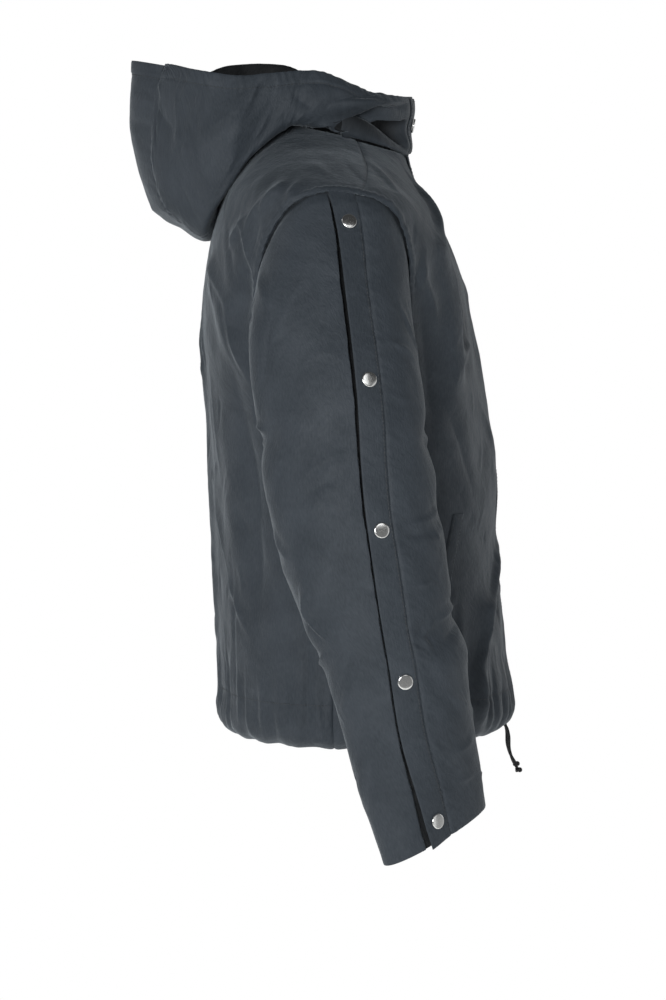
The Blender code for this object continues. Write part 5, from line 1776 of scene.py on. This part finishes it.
def metal_finish():
    """Silver snap metal: turned fine lines and small scuffs in its gloss and bump."""
    made, add, dress = new_finish("silver_snap")
    place = add("UVMap", {}, uv_map="cut")
    turned = {"Vector": place, "Scale": 700.0, "Distortion": 2.0, "Detail": 2.0}
    rings = add("TexWave", turned, "Fac", wave_type="RINGS", rings_direction="Z")
    scuffs = add("TexNoise", {"Vector": place, "Scale": 420.0, "Detail": 4.0}, "Fac")
    shade = blend(add, scuffs, (0.78, 0.79, 0.78, 1.0), (0.90, 0.91, 0.90, 1.0))
    gloss = add("MapRange", {"Value": scuffs, "To Min": 0.12, "To Max": 0.22})
    bump = add("Bump", {"Height": rings, "Strength": 0.02, "Distance": 0.0001})
    dress({"Base Color": shade, "Roughness": gloss, "Normal": bump, "Metallic": 1.0})
    return made


def cord_finish():
    """Matt black braided cord: two sets of slanted ribs cross along its map."""
    made, add, dress = new_finish("black_braid")
    place = add("UVMap", {}, uv_map="cut")
    ribs = []
    for way in (1, -1):
        slanted = add("Mapping", {"Vector": place, "Scale": (1 / RIB_STEP, RIB_TURNS * way, 1.0)})
        along, across = (add("SeparateXYZ", {"Vector": slanted}, axis) for axis in "XY")
        total = add("Math", {0: along, 1: across}, operation="ADD")
        ribs.append(add("Math", {0: total, 1: 1.0}, operation="PINGPONG"))
    braid = add("Math", {0: ribs[0], 1: ribs[1]}, operation="MAXIMUM")
    shade = blend(add, braid, (0.004, 0.0045, 0.005, 1.0), (0.018, 0.019, 0.021, 1.0))
    bump = add("Bump", {"Height": braid, "Strength": 0.8, "Distance": 0.0003})
    dress({"Base Color": shade, "Normal": bump, "Roughness": 0.75})
    return made


def floor_finish():
    """Pale studio floor with a faint unevenness, lit evenly by a glow of its own."""
    made, add, dress = new_finish("pale_floor")
    place = add("TexCoord", {}, "Object")
    uneven = add("TexNoise", {"Vector": place, "Scale": 1.5, "Detail": 3.0}, "Fac")
    shade = blend(add, uneven, (0.80, 0.80, 0.79, 1.0), (0.86, 0.86, 0.85, 1.0))
    dress({"Base Color": shade, "Emission Color": shade, "Emission Strength": FLOOR_GLOW, "Roughness": 0.7})
    return made


NYLON = cloth_finish()
THREAD = thread_finish()
SILVER = metal_finish()
BRAID = cord_finish()


# Making


def aimed(data, place, target):
    """Puts a camera or a light at a place, facing a target."""
    made = bpy.data.objects.new(data.name, data)
    made.location = place
    made.rotation_euler = (Vector(target) - Vector(place)).to_track_quat("-Z", "Y").to_euler()
    bpy.context.scene.collection.objects.link(made)
    return made


def make_camera():
    """The photo's camera."""
    data = bpy.data.cameras.new("camera")
    data.lens = LENS
    data.sensor_width = FILM
    bpy.context.scene.camera = aimed(data, CAMERA_PLACE, CAMERA_TARGET)


def make_cords():
    """Each drawcord end: a smooth curve through its chosen points, and an overhand knot on a trefoil
    curve."""
    run = run_along(CORD_LINE)
    line = table_at(run, CORD_LINE, np.linspace(0, run[-1], CORD_POINTS))
    turn = np.linspace(0, 2 * np.pi, KNOT_POINTS, endpoint=False)
    loop = (np.sin(turn) + 2 * np.sin(2 * turn), np.cos(turn) - 2 * np.cos(2 * turn), -np.sin(3 * turn))
    for word, side in SIDES:
        path = np.column_stack([np.full(CORD_POINTS, side * CORD_X), line])
        cord = tube(f"drawcord_{word}_braid", path, np.array([1.0, 0.0, 0.0]), CORD_RADIUS, CORD_SIDES)
        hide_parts(f"drawcord_{word}")
        centre = np.array([side * CORD_X, *KNOT_CENTRE])
        knot_path = centre + np.stack(loop, axis=-1) * KNOT_SIZE
        knot = tube(f"knot_{word}_braid", knot_path, knot_path - centre, KNOT_CORD, KNOT_SIDES, closed=True)
        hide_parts(f"knot_{word}")
        float(run_along(path)[-1])


def cloth(node, outer, form, inside, with_pieces=(), painted_shade_mask=None):
    """The shell that stands for a cloth node. A narrow strip, whose grid is its own form, has the thinner
    wall and an inner face as fine as its face. Places in shade, such as those between layers, are
    darkened by painted shade from the mask, at most as much as the inner face."""
    narrow = form is outer
    wall = STRIP_WALL if narrow else CLOTH_WALL
    # Painted shade: the mask goes into the shell's attribute that darkens the colour
    made = shell(f"{node}_cloth", outer, inside, wall, 1 if narrow else REVERSE_STEP, painted_shade_mask)
    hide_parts(node)
    declare_sheet(form)


def grid_line(outer, inside, measure, wanted):
    """The line on a grid along which a measure that grows along its columns reaches a value, with normals:
    straight between the two points on either side in every column."""
    after = np.clip((measure < wanted).sum(axis=1), 1, measure.shape[1] - 1)
    pick = np.arange(len(after))
    before = measure[pick, after - 1]
    share = ((wanted - before) / (measure[pick, after] - before))[:, None]
    normal = grid_normal(outer, inside)

    def between(values):
        return values[pick, after - 1] * (1 - share) + values[pick, after] * share

    return between(outer), between(normal)


def rim_stitches(node, outer, inside, first, last):
    """The stitched line of the turned hem at the hood's rim, between two columns of the grid."""
    back = outer[:, ::-1]
    line, normal = grid_line(back, inside, lengths(back, 1), HOOD_HEM)
    return stitch_row(node, [(line[first:last], normal[first:last])])


def edge_stitches(node, outer, inside):
    """Stitches round a small piece, on grid lines a little in from its edges."""
    across, along = STITCH_LINES
    columns = slice(across, -across)
    rows = slice(along, -along)
    places = [(across, rows), (-across - 1, rows), (columns, along), (columns, -along - 1)]
    normal = grid_normal(outer, inside)
    return stitch_row(node, [(outer[place], normal[place]) for place in places])


def make_body():
    """Back, fronts, front placket, pocket welts and the front's snaps."""
    back_cells = (2 * CUT_CELLS[0], CUT_CELLS[1])
    body_panel("back", back_cut, back_cells, fine_ends(BACK_CELLS), 180, 1, 2 * GATHERS, "low both")
    for node, side, start, seams in (
        ("front_left", 1, FRONT_PLACKET / 2 + SEAM, "low under"),
        ("front_right", -1, FRONT_PLACKET / 2 - UNDERLAP, "under placket"),
    ):
        cut = partial(front_cut, start=start)
        body_panel(node, cut, CUT_CELLS, fine_ends(FRONT_CELLS), 0, side, GATHERS, seams)
    outer = front_strip()
    levels = np.linspace(HEM_LEVEL + FRONT_STITCH_ENDS[0], NECK_LEVEL - FRONT_STITCH_ENDS[1], FRONT_ROWS)
    stitches = stitch_row("front_placket", [seated(front_top, share, levels) for share in FRONT_STITCHES])
    cloth("front_placket", outer, outer, BODY_MIDDLE, stitches)
    for index, level in enumerate(FRONT_SNAP_LEVELS, start=1):
        snap(f"snap_front_{index}", *seated(front_top, MIDDLE, np.array(level)))
    for word, side in SIDES:
        outer = welt_points(side, *grid(fine_ends(WELT_CELLS[0]), fine_ends(WELT_CELLS[1])))
        stitches = edge_stitches(f"pocket_welt_{word}", outer, BODY_MIDDLE)
        cloth(f"pocket_welt_{word}", outer, outer, BODY_MIDDLE, stitches)


def make_sleeve(word, side):
    """A sleeve: its two halves, its placket strip and the strip's snaps."""
    middle = sleeve_middle(side)
    inside = np.concatenate([middle[:1], middle])
    for half, panel in (("front", sleeve_front_half), ("back", sleeve_back_half)):
        # Each half also gives its painted shade
        outer, form, painted_shade_values = panel(word, side)
        cloth(f"sleeve_{word}_{half}", outer, form, inside, painted_shade_mask=painted_shade_values)
    top = partial(strip_points, word, side, depth=0.0)
    outer = sleeve_strip(word, side)
    line, normal = seated(top, SLEEVE_STITCHES, np.linspace(*SLEEVE_STITCH_ENDS, SLEEVE_ROWS))
    stitches = stitch_row(f"sleeve_{word}_placket", [(line, normal * side)])
    cloth(f"sleeve_{word}_placket", outer, outer, middle.mean(axis=0), stitches)
    for index, (place, normal) in enumerate(zip(*seated(top, MIDDLE, SNAP_ROWS)), start=1):
        snap(f"snap_sleeve_{word}_{index}", place, normal * side)


def make_hood():
    """Both hood sides, the gusset between them, the throat tab and its snap."""
    for word, side in SIDES:
        outer, form, recess = hood_side(word, side)
        stitches = rim_stitches(f"hood_{word}", outer, HOOD_MIDDLE, *RIM_COLUMNS)
        # The recess's painted shade is passed as the cloth's mask
        cloth(f"hood_{word}", outer, form, HOOD_MIDDLE, stitches, recess)
    outer, form = hood_gusset()
    stitches = rim_stitches("hood_gusset", outer, GUSSET_MIDDLE, END_LINES, -END_LINES)
    cloth("hood_gusset", outer, form, GUSSET_MIDDLE, stitches)
    outer = throat_tab()
    cloth("throat_tab", outer, outer, HOOD_MIDDLE, edge_stitches("throat_tab", outer, HOOD_MIDDLE))
    heights = np.linspace(*TAB_SEARCH)
    line = throat_points(np.full(heights.shape, TAB_MIDDLE), heights)
    at = np.interp(THROAT_SNAP_HEIGHT, line[:, 2], heights)
    place, normal = seated(throat_points, TAB_MIDDLE, np.array(at))
    snap("snap_throat", place, -normal * np.sign(normal[1]))


def studio_light(name, place, target, size, power):
    """A soft box of a width and height that faces a target."""
    data = bpy.data.lights.new(name, "AREA")
    data.shape = "RECTANGLE"
    data.size, data.size_y = size
    data.energy = power
    aimed(data, place, target)


def make_studio():
    """Pale floor, soft boxes round the jacket, and a surround that looks white, lights most from behind it
    as seen by the camera and least from above."""
    corners = np.array([(-1, -1), (1, -1), (1, 1), (-1, 1)]) * FLOOR_HALF
    mesh = bpy.data.meshes.new("floor")
    mesh.from_pydata([(x, y, FLOOR_LEVEL) for x, y in corners], [], [(0, 1, 2, 3)])
    mesh.materials.append(floor_finish())
    floor = bpy.data.objects.new("floor", mesh)
    bpy.context.scene.collection.objects.link(floor)
    for light in LIGHTS:
        studio_light(*light)
    world = bpy.data.worlds.new("surround")
    bpy.context.scene.world = world
    world.use_nodes = True
    tree = world.node_tree
    add = adder(tree)
    place = add("TexCoord", {}, "Generated")
    parts = []
    for axis, low, high, start, end in SURROUND:
        along = add("SeparateXYZ", {"Vector": place}, axis)
        limits = {"From Min": low, "From Max": high, "To Min": start, "To Max": end}
        parts.append(add("MapRange", {"Value": along, **limits}))
    glow = add("Math", {0: parts[0], 1: parts[1]}, operation="MULTIPLY")
    seen = add("LightPath", {}, "Is Camera Ray")
    strength = add("MapRange", {"Value": seen, "To Min": glow, "To Max": 1.0})
    fill(tree, tree.nodes["Background"], {"Color": WHITE, "Strength": strength})
    bpy.context.scene.view_settings.view_transform = "Standard"


make_camera()
make_cords()
make_body()
for word, side in SIDES:
    make_sleeve(word, side)
make_hood()
make_studio()
